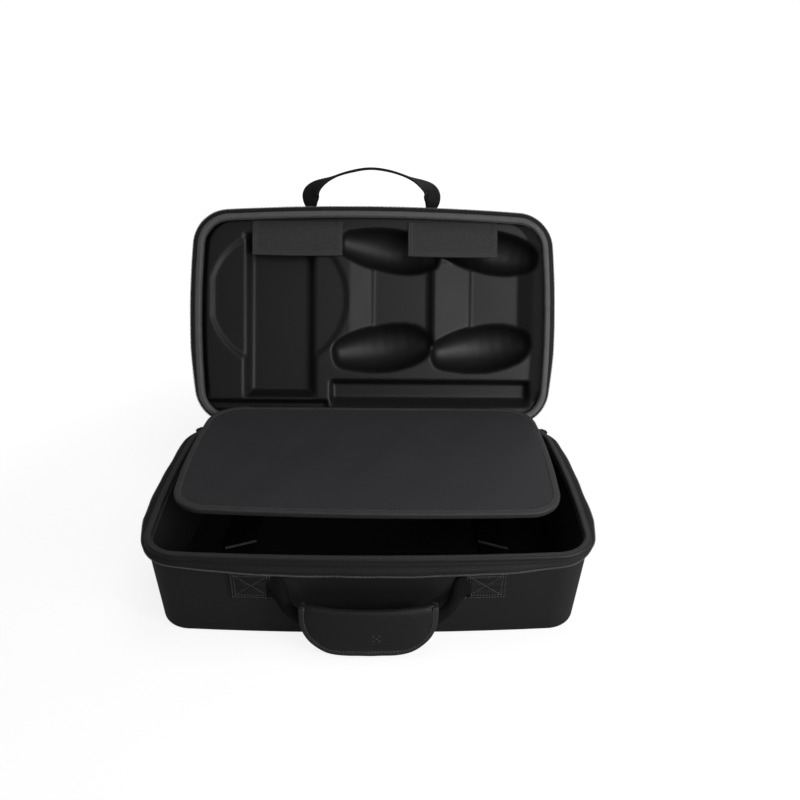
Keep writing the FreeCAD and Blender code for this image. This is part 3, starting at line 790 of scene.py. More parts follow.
class BeadRow:
    """Geometry Nodes tree that lays small rounded beads along paths: stitches and zip teeth."""

    tree: bpy.types.NodeTree | None = None

    @classmethod
    def build(cls) -> bpy.types.NodeTree:
        """Make the tree once."""
        if cls.tree is not None:
            return cls.tree
        tree = bpy.data.node_groups.new("BeadRow", "GeometryNodeTree")
        sockets = (
            ("Geometry", "INPUT", "Geometry"), ("Spacing", "INPUT", "Float"),
            ("Size", "INPUT", "Vector"), ("Finish", "INPUT", "Material"),
            ("Geometry", "OUTPUT", "Geometry"),
        )
        for name, way, kind in sockets:
            tree.interface.new_socket(name, in_out=way, socket_type="NodeSocket" + kind)
        new = tree.nodes.new
        start, end = new("NodeGroupInput"), new("NodeGroupOutput")
        curve, spread = new("GeometryNodeMeshToCurve"), new("GeometryNodeCurveToPoints")
        spread.mode = "LENGTH"
        bead, place = new("GeometryNodeMeshUVSphere"), new("GeometryNodeInstanceOnPoints")
        for name, number in (("Segments", 6), ("Rings", 5), ("Radius", 0.5)):
            bead.inputs[name].default_value = number
        up = new("GeometryNodeInputNamedAttribute")
        up.data_type = "FLOAT_VECTOR"
        up.inputs["Name"].default_value = "up"
        lie, stand = new("FunctionNodeAlignRotationToVector"), new("FunctionNodeAlignRotationToVector")
        lie.axis, stand.axis, stand.pivot_axis = "X", "Z", "X"
        real, paint = new("GeometryNodeRealizeInstances"), new("GeometryNodeSetMaterial")
        smooth = new("GeometryNodeSetShadeSmooth")
        links = (
            (start, "Geometry", curve, "Mesh"), (curve, "Curve", spread, "Curve"),
            (start, "Spacing", spread, "Length"), (spread, "Points", place, "Points"),
            (spread, "Tangent", lie, "Vector"), (lie, "Rotation", stand, "Rotation"),
            (up, "Attribute", stand, "Vector"), (stand, "Rotation", place, "Rotation"),
            (bead, "Mesh", place, "Instance"), (start, "Size", place, "Scale"),
            (place, "Instances", real, "Geometry"), (real, "Geometry", smooth, "Geometry"),
            (smooth, "Geometry", paint, "Geometry"), (start, "Finish", paint, "Material"),
            (paint, "Geometry", end, "Geometry"),
        )
        for source, way_out, target, way_in in links:
            tree.links.new(source.outputs[way_out], target.inputs[way_in])
        cls.tree = tree
        return tree

    @classmethod
    def lay(cls, name: str, paths: Sequence[tuple[np.ndarray, np.ndarray]], spacing: float,
            size: tuple[float, float, float], finish: Thread) -> bpy.types.Object:
        """Lay beads along paths and turn them into one plain mesh.

        Args:
            name: Name of the piece.
            paths: Points of each path and the direction of the bead's height there, in millimetres.
            spacing: Distance between beads, in millimetres.
            size: Length, width and height of a bead, in millimetres.
            finish: Finish of the beads.

        Returns:
            The object that holds all the beads.
        """
        points, edges, ups = [], [], []
        for line, up in paths:
            edges += [(len(points) + n, len(points) + n + 1) for n in range(len(line) - 1)]
            points += (line * MM).tolist()
            ups += np.broadcast_to(up, line.shape).tolist()
        mesh = bpy.data.meshes.new(name + "_path")
        mesh.from_pydata(points, edges, [])
        attribute = mesh.attributes.new("up", "FLOAT_VECTOR", "POINT")
        attribute.data.foreach_set("vector", [number for up in ups for number in up])
        source = add_object(name + "_path", mesh)
        tree = cls.build()
        modifier = source.modifiers.new("BeadRow", "NODES")
        modifier.node_group = tree
        values = {"Spacing": spacing * MM, "Size": tuple(n * MM for n in size), "Finish": finish.material()}
        for item in tree.interface.items_tree:
            if item.in_out == "INPUT" and item.name in values:
                modifier[item.identifier] = values[item.name]
        graph = bpy.context.evaluated_depsgraph_get()
        made = bpy.data.meshes.new_from_object(source.evaluated_get(graph))
        made.name = name
        bpy.data.objects.remove(source)
        piece = add_object(name, made)
        LOG.info("%s: %d faces", name, len(made.polygons))
        return piece


def sew(name: str, lines: Sequence[tuple[np.ndarray, np.ndarray]], spacing: float,
        size: tuple[float, float, float]) -> bpy.types.Object:
    """Lay the stitches of a piece along lines, as BeadRow.lay does."""
    return BeadRow.lay(name + "_stitches", lines, spacing, size, SEWING_THREAD)


def arc_length(points: np.ndarray) -> np.ndarray:
    """Distance along a line of points."""
    return np.concatenate([[0.0], np.cumsum(np.linalg.norm(np.diff(points, axis=0), axis=1))])


def sweep(path: np.ndarray, profile: np.ndarray) -> np.ndarray:
    """Rings of a profile carried along an outline.

    Args:
        path: Points and normals of the outline.
        profile: Offsets and heights of one ring, or of each ring.

    Returns:
        Array of rings by points by x, y, z.
    """
    rings = np.broadcast_to(profile, (len(path), *profile.shape[-2:]))
    x = path[:, None, 0] + path[:, None, 2] * rings[..., 0]
    y = path[:, None, 1] + path[:, None, 3] * rings[..., 0]
    return np.stack([x, y, rings[..., 1]], axis=-1)


@dataclass
class EdgePiece:
    """A piece along the edge of one of the two shells, which stands for a node."""

    name: str
    body: str
    node: str

    def place(self, points: np.ndarray) -> np.ndarray:
        """Bring points drawn at the base's edge to the edge of the piece's own shell."""
        return CASE.on_lid(CASE.mirrored(points)) if self.body == "lid" else points


@dataclass
class RimBinding(EdgePiece):
    """Fabric binding folded over the raw edge of a shell, sewn through near its hem."""

    wall: float
    finish: Cloth
    lap: float = 1.75
    height: float = 8.0
    top: float = 0.2
    seam: float = 0.72
    stitch_pitch: float = 3.6

    def profile(self, ripple: np.ndarray) -> np.ndarray:
        """Rounded section of the binding at each point of the path.

        Args:
            ripple: Small swelling at each point of the path.

        Returns:
            Array of rings by points by offset and height.
        """
        turn = np.linspace(0.0, math.tau, 30, endpoint=False)
        c, s = np.cos(turn), np.sin(turn)
        out = -self.wall / 2 + (self.wall / 2 + self.lap) * bulge(c, 0.55)
        up = np.where(s > 0, bulge(s, 0.8), bulge(s, 0.35)) * self.height / 2
        groove = 0.28 * np.exp(-((up + self.height * 0.22) / 0.7) ** 2)
        rings = np.empty((len(ripple), len(turn), 2))
        rings[..., 0] = out + (ripple[:, None] - groove) * np.sign(c)
        rings[..., 1] = CASE.rim - self.top - self.height / 2 + up
        return rings

    def build(self) -> None:
        """Make the binding and its two rows of stitches."""
        path = SHELL.path(4.0)[:-1]
        run = arc_length(path[:, :2])
        ripple = 0.10 * np.sin(run / 5.3) * np.sin(run / 31.0)
        piece = tube(self.name, self.place(sweep(path, self.profile(ripple))), run, True)
        dress(piece, self.finish)
        level = CASE.rim - self.top - self.height * self.seam
        normal = np.stack([path[:, 2], path[:, 3], 0 * path[:, 2]], axis=-1)
        lines = []
        for offset in (self.lap - 0.12, -self.wall - self.lap + 0.12):
            line = sweep(path, np.array([[offset, level]]))[:, 0]
            lines.append((self.place(line), self.place(line + normal) - self.place(line)))
        stitches = sew(self.name, lines, spacing=self.stitch_pitch, size=(2.6, 0.55, 0.5))
        fit([piece, stitches], self.body, self.node)


@dataclass
class ZipTape(EdgePiece):
    """Zip tape along the front and sides, with its row of teeth on the free edge."""

    end_y: float = 116.5
    thickness: float = 1.0
    rows: int = 8
    stand: float = 4.8
    hang: float = 16.0
    side_rise: float = 6.5
    flare: float = 4.1
    side_flare: float = 3.8

    def sections(self, path: np.ndarray) -> np.ndarray:
        """Middle line of the tape at each point of the path, from the binding to the free edge.

        Args:
            path: Points and normals of the outline.

        Returns:
            Array of rings by points by offset and height.
        """
        share = np.linspace(0.0, 1.0, self.rows)
        run = arc_length(path[:, :2])
        sway = 0.35 * np.sin(run / 17.0) + 0.25 * np.sin(run / 7.3 + 1.0)
        if self.body == "lid":
            near = np.clip((path[:, 1] - 40.0) / 60.0, 0, 1)
            out = 1.2 + (self.stand - 3.0 * near)[:, None] * share
            up = CASE.rim - 1.9 + 0.5 * sway[:, None] * share**2
            return np.stack([out, up], axis=-1)
        aside = np.where(path[:, 1] > 60.0, 1.0, np.clip((np.abs(path[:, 2]) - 0.5) / 0.5, 0, 1))
        drop = self.hang - self.side_rise * (path[:, 0] / 207.0) ** 2 - 2.5 * aside
        outer = np.clip((np.abs(path[:, 0]) - 120.0) / 50.0, 0, 1)
        close = outer * np.clip((-55.0 - path[:, 1]) / 40.0, 0, 1)
        flare = (self.flare + self.side_flare * aside) * (1 - 0.75 * close)
        top = CASE.rim - 4.5
        up = top + (CASE.rim - drop - top)[:, None] * share
        out = 1.3 + flare[:, None] * share**1.1 + sway[:, None] * share**2
        return np.stack([out, up], axis=-1)

    def build(self) -> None:
        """Make the tape and its teeth."""
        path = SHELL.path(4.0)
        path = path[path[:, 1] <= self.end_y]
        middle = self.sections(path)
        along = unit(np.gradient(middle, axis=1))
        side = np.stack([-along[..., 1], along[..., 0]], axis=-1) * self.thickness / 2
        closed = np.concatenate([middle + side, (middle - side)[:, ::-1]], axis=1)
        piece = tube(self.name, self.place(sweep(path, closed)), arc_length(path[:, :2]), False)
        dress(piece, ZIP_TAPE)
        hem, edge = np.moveaxis(self.place(sweep(path, middle[:, -2:])), 1, 0)
        teeth = BeadRow.lay(self.name + "_teeth", [(edge, hem - edge)],
                            spacing=1.5, size=(1.05, 1.7, 2.4), finish=ZIP_TEETH)
        fit([piece, teeth], self.body, self.node)


@dataclass
class LidTray:
    """Moulded sheet in the lid: disc recess, well, two controller beds and a long slot."""

    face: float = 10.0
    thickness: float = 1.6
    disc: tuple[float, float, float, float] = (-111.5, 145.0, 80.5, 3.2)
    disc_flat: float = -189.0
    lip: float = 1.6
    well: tuple[float, float, float, float] = (-152.0, -67.0, 28.5, 221.0)
    well_depth: float = 14.0
    well_slope: float = 9.5
    bed_x: float = 33.0
    bed_pitch: float = 115.5
    bed_middle: float = 144.5
    bed_half: float = 46.0
    bed_left: tuple[float, float] = (61.0, 79.0)
    bed_right: float = 37.0
    bed_ramp: tuple[float, float] = (26.0, 44.0)
    bed_wall: tuple[float, float] = (6.0, 14.0)
    bed_depths: tuple[float, float] = (6.4, 3.0)
    lobe_tilt: float = 9.5
    lobe_gap: float = 66.0
    lobe_length: float = 117.0
    near_lobe: tuple[float, float] = (80.0, 28.0)
    far_lobe: tuple[float, float] = (73.0, 25.0)
    lobe_shape: tuple[tuple[float, float], ...] = (
        (0.0, 0.0), (0.008, 0.26), (0.018, 0.38), (0.04, 0.5), (0.085, 0.6), (0.15, 0.69),
        (0.22, 0.78), (0.3, 0.87), (0.4, 0.95), (0.52, 1.0), (0.62, 0.995), (0.75, 0.93),
        (0.86, 0.8), (0.94, 0.6), (1.0, 0.3))
    slot: tuple[float, float, float, float] = (-50.5, 183.5, 34.0, 15.0)
    slot_step: float = 9.4
    slot_tilt: float = 0.09
    groove: tuple[float, float, float] = (13.0, 25.5, 6.0)
    gutter: tuple[float, float] = (5.0, 5.0)
    border: tuple[float, float] = (14.0, 4.5)
    border_start: float = 26.0
    softness: float = 1.3

    @staticmethod
    def pan(inside: np.ndarray, slope: float, depth: float) -> np.ndarray:
        """Depth of a recess whose wall runs down over a width of slope."""
        return depth * np.clip(inside / slope, 0.0, 1.0)

    def lobe_depth(self, x: np.ndarray, s: np.ndarray, bed: float, side: int) -> np.ndarray:
        """Depth of one grip bowl of a controller bed.

        Args:
            x: X of the points.
            s: Distance of the points from the hinge line.
            bed: X of the bed's middle.
            side: -1 for the bowl near the hinge, 1 for the far one.

        Returns:
            The depth at each point.
        """
        tilt = math.radians(self.lobe_tilt)
        nose, size = self.near_lobe if side < 0 else self.far_lobe
        dx = x - (bed - nose)
        ds = (s - self.bed_middle) * side - self.lobe_gap
        along = dx * math.cos(tilt) - ds * math.sin(tilt)
        across = dx * math.sin(tilt) + ds * math.cos(tilt)
        stations, radii = np.array(self.lobe_shape).T
        radius = np.interp(along, stations * self.lobe_length, radii * size, left=0.0, right=0.0)
        return np.sqrt(np.clip(radius**2 - across**2, 0.0, None))

    def bed_depth(self, x: np.ndarray, s: np.ndarray, number: int) -> np.ndarray:
        """Depth of a controller bed, with a stepped floor and two grip bowls.

        Args:
            x: X of the points.
            s: Distance of the points from the hinge line.
            number: 0 for the left bed, 1 for the right one.

        Returns:
            The depth at each point.
        """
        bed = self.bed_x + number * self.bed_pitch
        left, right = x - (bed - self.bed_left[number]), (bed + self.bed_right) - x
        ends = self.bed_half - np.abs(s - self.bed_middle)
        ramp, (rise, step) = self.bed_ramp[number], self.bed_depths
        floor = self.pan(left, ramp, rise) + self.pan(left - ramp, self.lip, step)
        wall = np.clip(np.minimum(right / self.bed_wall[number], ends / 3.0), 0.0, 1.0)
        return np.maximum.reduce([floor * wall, *(self.lobe_depth(x, s, bed, side) for side in (-1, 1))])

    def slot_depth(self, x: np.ndarray, s: np.ndarray) -> np.ndarray:
        """Depth of the long slot, with a sloped floor, and of the groove beside its left end."""
        start, stop, middle, radius = self.slot
        end = self.pan((stop - start) / 2 - np.abs(x - (start + stop) / 2), 2.5, 1.0)
        over = middle + radius - s
        bottom = self.pan(over, 2.0, self.slot_step) + self.slot_tilt * np.clip(over, 0.0, None)
        rise = self.pan(2 * radius + 1.0 - over, 12.0, 1.0)
        low, high, deep = self.groove
        groove = self.pan(np.minimum.reduce([s - low, high - s, start - 3.0 - x]), 2.0, deep)
        return np.maximum(end * bottom * rise * (over > 0), groove)

    def depth(self, x: np.ndarray, s: np.ndarray) -> np.ndarray:
        """Depth of the tray below its face, with sharp edges."""
        middle_x, middle_s, radius, shallow = self.disc
        disc = np.minimum(radius - np.hypot(x - middle_x, s - middle_s), x - self.disc_flat)
        x0, x1, s0, s1 = self.well
        walls = np.minimum.reduce([x - x0, x1 - x, s - s0, s1 - s])
        recesses = [self.pan(disc, self.lip, shallow), self.pan(walls, self.well_slope, self.well_depth)]
        recesses += [self.bed_depth(x, s, number) for number in (0, 1)]
        return np.maximum.reduce([*recesses, self.slot_depth(x, s)])

    def soft_depth(self, x: np.ndarray, s: np.ndarray) -> np.ndarray:
        """Depth with the soft lips of a moulded, fabric-covered sheet."""
        gx, gs = np.arange(-206.0, 206.5, 1.0), np.arange(0.0, 250.5, 1.0)
        field_x, field_s = np.meshgrid(gx, gs, indexing="ij")
        span = 5
        kernel = np.exp(-0.5 * (np.arange(-span, span + 1) / self.softness) ** 2)
        kernel /= kernel.sum()
        soft = np.pad(self.depth(field_x, field_s), span, mode="edge")
        for axis in (0, 1):
            soft = np.apply_along_axis(np.convolve, axis, soft, kernel, "valid")
        i = np.clip(x - gx[0], 0, len(gx) - 1.001)
        j = np.clip(s - gs[0], 0, len(gs) - 1.001)
        i0, j0 = i.astype(int), j.astype(int)
        fi, fj = i - i0, j - j0
        low = soft[i0, j0] * (1 - fi) + soft[i0 + 1, j0] * fi
        high = soft[i0, j0 + 1] * (1 - fi) + soft[i0 + 1, j0 + 1] * fi
        return low * (1 - fj) + high * fj

    def build(self) -> None:
        """Make the tray, with a gutter at its left border and a raised right border."""
        inset = CASE.lid_wall + CASE.lid_draft * self.face / CASE.lid_height + 0.4
        x, y = SHELL.plate(inset, 150, 240)
        s = CASE.hinge_y - y
        depth = self.soft_depth(x, s)
        reach = np.abs(x).max(axis=1, keepdims=True)
        edge = self.pan(s - self.border_start, 12.0, 1.0)
        left = self.pan(self.gutter[0] - reach - x, *self.gutter)
        right = self.pan(self.border[0] - reach + x, *self.border)
        depth = np.maximum(depth, left * edge) - right * edge
        front = CASE.tray_point(x, s, self.face + depth)
        back = CASE.tray_point(x, s, self.face + depth + self.thickness)
        tray = slab("moulded_tray", front, back, np.stack([x, s], axis=-1))
        dress(tray, TRAY_VELOUR)
        fit([tray], "lid", "lid_tray")


def smooth_path(knots: Sequence[Sequence[float]], count: int) -> np.ndarray:
    """Evenly spaced points on a smooth curve through knots.

    Args:
        knots: Points that the curve passes through.
        count: Number of points wanted.

    Returns:
        The points.
    """
    given = np.asarray(knots, float)
    padded = np.concatenate([[2 * given[0] - given[1]], given, [2 * given[-1] - given[-2]]])
    t = np.linspace(0, 1, 24, endpoint=False)[:, None]
    runs = []
    for a, b, c, d in zip(padded, padded[1:], padded[2:], padded[3:]):
        bend = (2 * a - 5 * b + 4 * c - d) * t**2 + (3 * b - a - 3 * c + d) * t**3
        runs.append(0.5 * (2 * b + (c - a) * t + bend))
    dense = np.concatenate(runs + [given[-1:]])
    run = arc_length(dense[:, :3])
    even = np.linspace(0, run[-1], count)
    return np.stack([np.interp(even, run, dense[:, k]) for k in range(dense.shape[1])], axis=-1)


def band(name: str, path: np.ndarray, face: np.ndarray, half: np.ndarray, thickness: float,
         cup: np.ndarray | float = 0.0) -> bpy.types.Object:
    """Flat strap along a path.

    Args:
        name: Name of the piece.
        path: Points along the strap's middle.
        face: Direction of the showing side at each point.
        half: Half of the width at each point.
        thickness: Thickness of the strap.
        cup: How far the edges bend away from the showing side.

    Returns:
        The object.
    """
    along = unit(np.gradient(path, axis=0))
    face = np.broadcast_to(face, path.shape)
    face = unit(face - (face * along).sum(axis=1, keepdims=True) * along)
    across = np.cross(along, face)
    row = np.linspace(-0.97, 0.97, 11)
    a = np.concatenate([row, [1.0], row[::-1], [-1.0]])
    b = np.concatenate([np.ones(11), [0.0], -np.ones(11), [0.0]])
    b = b * np.where(np.abs(a) > 0.96, 0.75, 1.0)
    width = np.broadcast_to(half, len(path))[:, None, None]
    bend = np.broadcast_to(cup, len(path))[:, None, None]
    out = b[None, :, None] * thickness / 2 - bend * (a**2)[None, :, None]
    rings = path[:, None] + across[:, None] * a[None, :, None] * width + face[:, None] * out
    return tube(name, rings, arc_length(path), False)


@dataclass
class WallPatch:
    """Square of webbing sewn on a shell's front wall with a boxed cross."""

    name: str
    node: str
    body: str
    x: float
    level: float
    width: float
    height: float
    thickness: float = 2.0
    insets: tuple[float, float] = (2.3, 4.9)
    pull_reach: float = 0.9
    pull_depth: float = 0.5

    def at(self, x: np.ndarray, z: np.ndarray, out: np.ndarray | float) -> np.ndarray:
        """Points at a distance from the wall."""
        if self.body == "base":
            return np.stack([x, front_wall(x, z) - out, z], axis=-1)
        lean = CASE.lid_draft * (z - CASE.rim) / CASE.lid_height
        y = -SHELL.depth / 2 + lean + front_bow(x) - out
        return CASE.on_lid(np.stack([x, y, z], axis=-1))

    def seams(self) -> list[tuple[np.ndarray, np.ndarray]]:
        """Ends of each straight seam, as X and Z."""
        square = np.array([(-1, -1), (1, -1), (1, 1), (-1, 1), (-1, -1)], float)
        middle, half = np.array([self.x, self.level]), np.array([self.width, self.height]) / 2
        first, second = (middle + square * (half - inset) for inset in self.insets)
        lines = (first, second, second[[0, 2]], second[[1, 3]])
        return [pair for line in lines for pair in zip(line, line[1:])]

    def relief(self, x: np.ndarray, z: np.ndarray) -> np.ndarray:
        """How far the seams pull the webbing in at points of the patch."""
        pull = np.zeros_like(x)
        spot = np.stack([x, z], axis=-1)
        for start, end in self.seams():
            step = end - start
            share = np.clip(((spot - start) @ step) / (step @ step), 0, 1)
            gap = np.linalg.norm(spot - start - share[..., None] * step, axis=-1)
            pull = np.maximum(pull, np.exp(-((gap / self.pull_reach) ** 2)))
        return self.pull_depth * pull

    def build(self) -> None:
        """Make the patch and its stitches."""
        w, u = np.meshgrid(bunched(48), bunched(56), indexing="ij")
        x, z = self.x + u * self.width / 2, self.level + w * self.height / 2
        edge = np.minimum((1 - np.abs(u)) * self.width / 2, (1 - np.abs(w)) * self.height / 2)
        out = 0.2 + self.thickness * (1 - 0.6 * np.exp(-edge / 0.7)) - self.relief(x, z)
        piece = slab(self.name, self.at(x, z, out), self.at(x, z, 0.1), np.stack([x, z], axis=-1))
        dress(piece, WEBBING)
        away = unit(self.at(x, z, 1.0)[0, 0] - self.at(x, z, 0.0)[0, 0])
        lines = []
        for start, end in self.seams():
            lines.append((self.at(*np.linspace(start, end, 14).T, self.thickness), away))
        fit([piece, sew(self.name, lines, spacing=2.5, size=(2.0, 0.7, 0.6))], self.body, self.node)


@dataclass
class LidFlap:
    """Ribbed elastic flap that hangs over the top of the tray, sewn in along its upper edge."""

    name: str
    node: str
    x: float
    width: float = 104.5
    low: float = 194.5
    high: float = 234.0
    thickness: float = 1.2
    rest_depth: float = 9.0
    swell: float = 0.9
    sag: float = 0.7
    hem: float = 5.0
    insets: tuple[float, float] = (1.6, 4.2)

    def at(self, u: np.ndarray, w: np.ndarray, lift: np.ndarray | float) -> np.ndarray:
        """Points from shares across and up the flap, raised from its middle surface."""
        x = self.x + u * self.width / 2
        s = self.low + (self.high - self.low) * w
        droop = self.sag * (1 - u**2) * (1 - w) ** 2
        swell = self.swell * np.sin(math.pi * np.clip(w, 0, 1)) * (0.7 + 0.3 * np.cos(2.2 * u + self.x))
        depth = self.rest_depth - swell - 0.8 * (1 - w) - lift
        return CASE.tray_point(x, s - droop, depth)

    def build(self) -> None:
        """Make the flap and the stitches of its hems."""
        w, u = np.meshgrid(0.5 + 0.5 * bunched(48), bunched(90), indexing="ij")
        length = self.high - self.low
        edge = np.minimum((1 - np.abs(u)) * self.width / 2, w * length)
        hem = 0.35 * (1 - np.clip((edge - self.hem) / 0.8, 0, 1)) * np.clip(edge / 0.6, 0, 1)
        half = self.thickness / 2
        flat = np.stack([u * self.width / 2, w * length], axis=-1)
        piece = slab(self.name, self.at(u, w, half + hem), self.at(u, w, -half), flat)
        dress(piece, FLAP_ELASTIC)
        out = CASE.on_lid(np.array([0, 0, -1.0])) - CASE.on_lid(np.zeros(3))
        lines = []
        for inset in self.insets:
            su, sw = 1 - inset / (self.width / 2), inset / length
            corners = np.array([(-su, 0.97), (-su, sw), (su, sw), (su, 0.97)])
            for start, end in zip(corners, corners[1:]):
                lines.append((self.at(*np.linspace(start, end, 30).T, half + 0.38), out))
        stitches = sew(self.name, lines, spacing=2.6, size=(2.0, 0.6, 0.45))
        fit([piece, stitches], "lid", self.node)


@dataclass
class LidHandle:
    """Webbing arch on the lid's front wall, its ends twisted, folded lengthwise and sewn down."""

    foot_y: float = -124.69
    foot_z: float = 124.0
    lean: float = -13.0
    half_width: float = 12.5
    foot_half: float = 4.0
    thickness: float = 2.4
    fold: float = 3.0
    plain_end: int = 16
    knots: tuple[tuple[float, float, float], ...] = (
        (-76.0, -4.2, 82.0), (-76.0, 6.0, 80.0), (-76.5, 16.0, 70.0), (-74.5, 25.0, 52.0),
        (-67.0, 33.0, 30.0), (-52.0, 40.5, 8.0), (-30.0, 48.0, 2.0), (-6.0, 52.0, 2.0),
        (18.0, 49.5, 2.0), (42.0, 42.0, 6.0), (58.0, 35.0, 26.0), (67.0, 27.5, 46.0),
        (69.5, 17.0, 66.0), (68.5, 7.0, 78.0), (68.5, -4.2, 82.0))

    def at(self, x: np.ndarray, rise: np.ndarray, across: np.ndarray) -> np.ndarray:
        """Points from x, the height above the feet and the place across the webbing."""
        closed = np.stack([x, self.foot_y - rise, self.foot_z + across], axis=-1)
        return CASE.on_lid(turn_about_x(closed, self.foot_y, self.foot_z, -self.lean))

    def build(self) -> None:
        """Make the arch and its edge stitches."""
        line = smooth_path(self.knots, 110)
        none = 0 * line[:, 0]
        path = self.at(line[:, 0], line[:, 1], none)
        step = np.gradient(line[:, :2], axis=0)
        out = unit(np.stack([-step[:, 1], step[:, 0]], axis=-1))
        twist = np.radians(line[:, 2])
        c, s = np.cos(twist), np.sin(twist)
        face = self.at(line[:, 0] + c * out[:, 0], line[:, 1] + c * out[:, 1], none - s) - path
        share = np.clip((line[:, 1] + 4.0) / 30.0, 0, 1)
        ease = share * share * (3 - 2 * share)
        half = self.foot_half + (self.half_width - self.foot_half) * ease
        cup = self.fold * (1 - ease) + 0.8
        piece = band("lid_handle_web", path, face, half, self.thickness, cup)
        dress(piece, WEBBING)
        side = unit(np.cross(unit(np.gradient(path, axis=0)), face))
        sewn = slice(self.plain_end, -self.plain_end)
        lines = []
        for sign in (-1, 1):
            lift = self.thickness / 2 - cup * 0.67
            edge = path + side * sign * (half * 0.82)[:, None] + face * lift[:, None]
            lines.append((edge[sewn], face[sewn]))
        stitches = sew("lid_handle", lines, spacing=3.0, size=(2.3, 0.6, 0.5))
        fit([piece, stitches], "lid_handle", "lid_handle")


DIVIDER_EDGE = Outline(
    width=377.0, depth=205.0, corner=36.5, front_rise=6.5, side_rise=6.5,
    middle_y=CASE.hinge_y - CASE.divider_back + 3.2 - 102.5)


@dataclass
class Divider:
    """Padded board that lies over the mouth of the base, with a binding round its edge."""

    board_half: float = 2.6
    binding_half: float = 3.2
    binding_width: float = 7.5
    seam: float = -5.4
    crown: float = 0.9
    twist: float = 0.0125
    shift: float = 2.2
    dents: tuple[tuple[float, float, float], ...] = (
        (64, -6, 5.0), (-82, -76, 6.0), (113, -80, 5.0), (150, -78, 4.0), (-20, 40, 9.0))

    def at(self, x: np.ndarray, y: np.ndarray, up: np.ndarray) -> np.ndarray:
        """Points of the lying divider, a little twisted, from places on the folded one."""
        rear = DIVIDER_EDGE.middle_y + DIVIDER_EDGE.depth / 2
        front = np.clip((rear - y) / DIVIDER_EDGE.depth, 0, 1)
        level = CASE.rim + CASE.divider_depth + up - self.twist * x * front
        return CASE.on_divider(np.stack([x - self.shift * front, y, level], axis=-1))

    def board(self) -> bpy.types.Object:
        """Make the padded board."""
        x, y = DIVIDER_EDGE.plate(5.0, 70, 110)
        rows, columns = x.shape
        i, j = np.meshgrid(np.linspace(-1, 1, rows), np.linspace(-1, 1, columns), indexing="ij")
        swell = self.crown * (1 - i**4) * (1 - j**6)
        ripple = 0.16 * np.sin(x / 27.0 + 0.8) * np.sin(y / 33.0) + 0.1 * np.sin(x / 11.0 - y / 19.0)
        dented = np.zeros_like(x)
        for px, py, size in self.dents:
            dented += 0.35 * np.exp(-((x - px) ** 2 + (y - py) ** 2) / (2 * size**2))
        high = self.at(x, y, self.board_half + swell + ripple - dented)
        low = self.at(x, y, -self.board_half - 0.5 * swell)
        piece = slab("divider_pad", high, low, np.stack([x, y], axis=-1))
        dress(piece, DIVIDER_SKIN)
        return piece

    def binding(self) -> list[bpy.types.Object]:
        """Make the binding and the stitches on both its sides."""
        path = DIVIDER_EDGE.path(4.0)[:-1]
        run = arc_length(path[:, :2])
        turn = np.linspace(0, math.tau, 28, endpoint=False)
        c, s = np.cos(turn), np.sin(turn)
        out = self.binding_width / 2 * (bulge(c, 0.6) - 1)
        up = self.binding_half * bulge(s, 0.45)
        groove = 0.3 * np.exp(-(((out - self.seam) / 0.7) ** 2)) * np.sign(s)
        ripple = 0.1 * np.sin(run / 4.7) * np.sin(run / 23.0)
        rings = sweep(path, np.stack([out, up - groove], axis=-1))
        rings[..., 2] += ripple[:, None] * np.sign(s)
        piece = tube("divider_edge", self.at(*np.moveaxis(rings, -1, 0)), run, True)
        dress(piece, DIVIDER_EDGING)
        lines = []
        for sign in (-1, 1):
            line = sweep(path, np.array([[self.seam, sign * (self.binding_half - 0.1)]]))[:, 0]
            there = self.at(*line.T)
            lines.append((there, self.at(*(line + [0, 0, sign]).T) - there))
        return [piece, sew("divider", lines, spacing=3.4, size=(2.5, 0.6, 0.5))]

    def build(self) -> None:
        """Make the divider."""
        fit([self.board()], "divider", "divider_board")
        fit(self.binding(), "divider", "divider_binding")


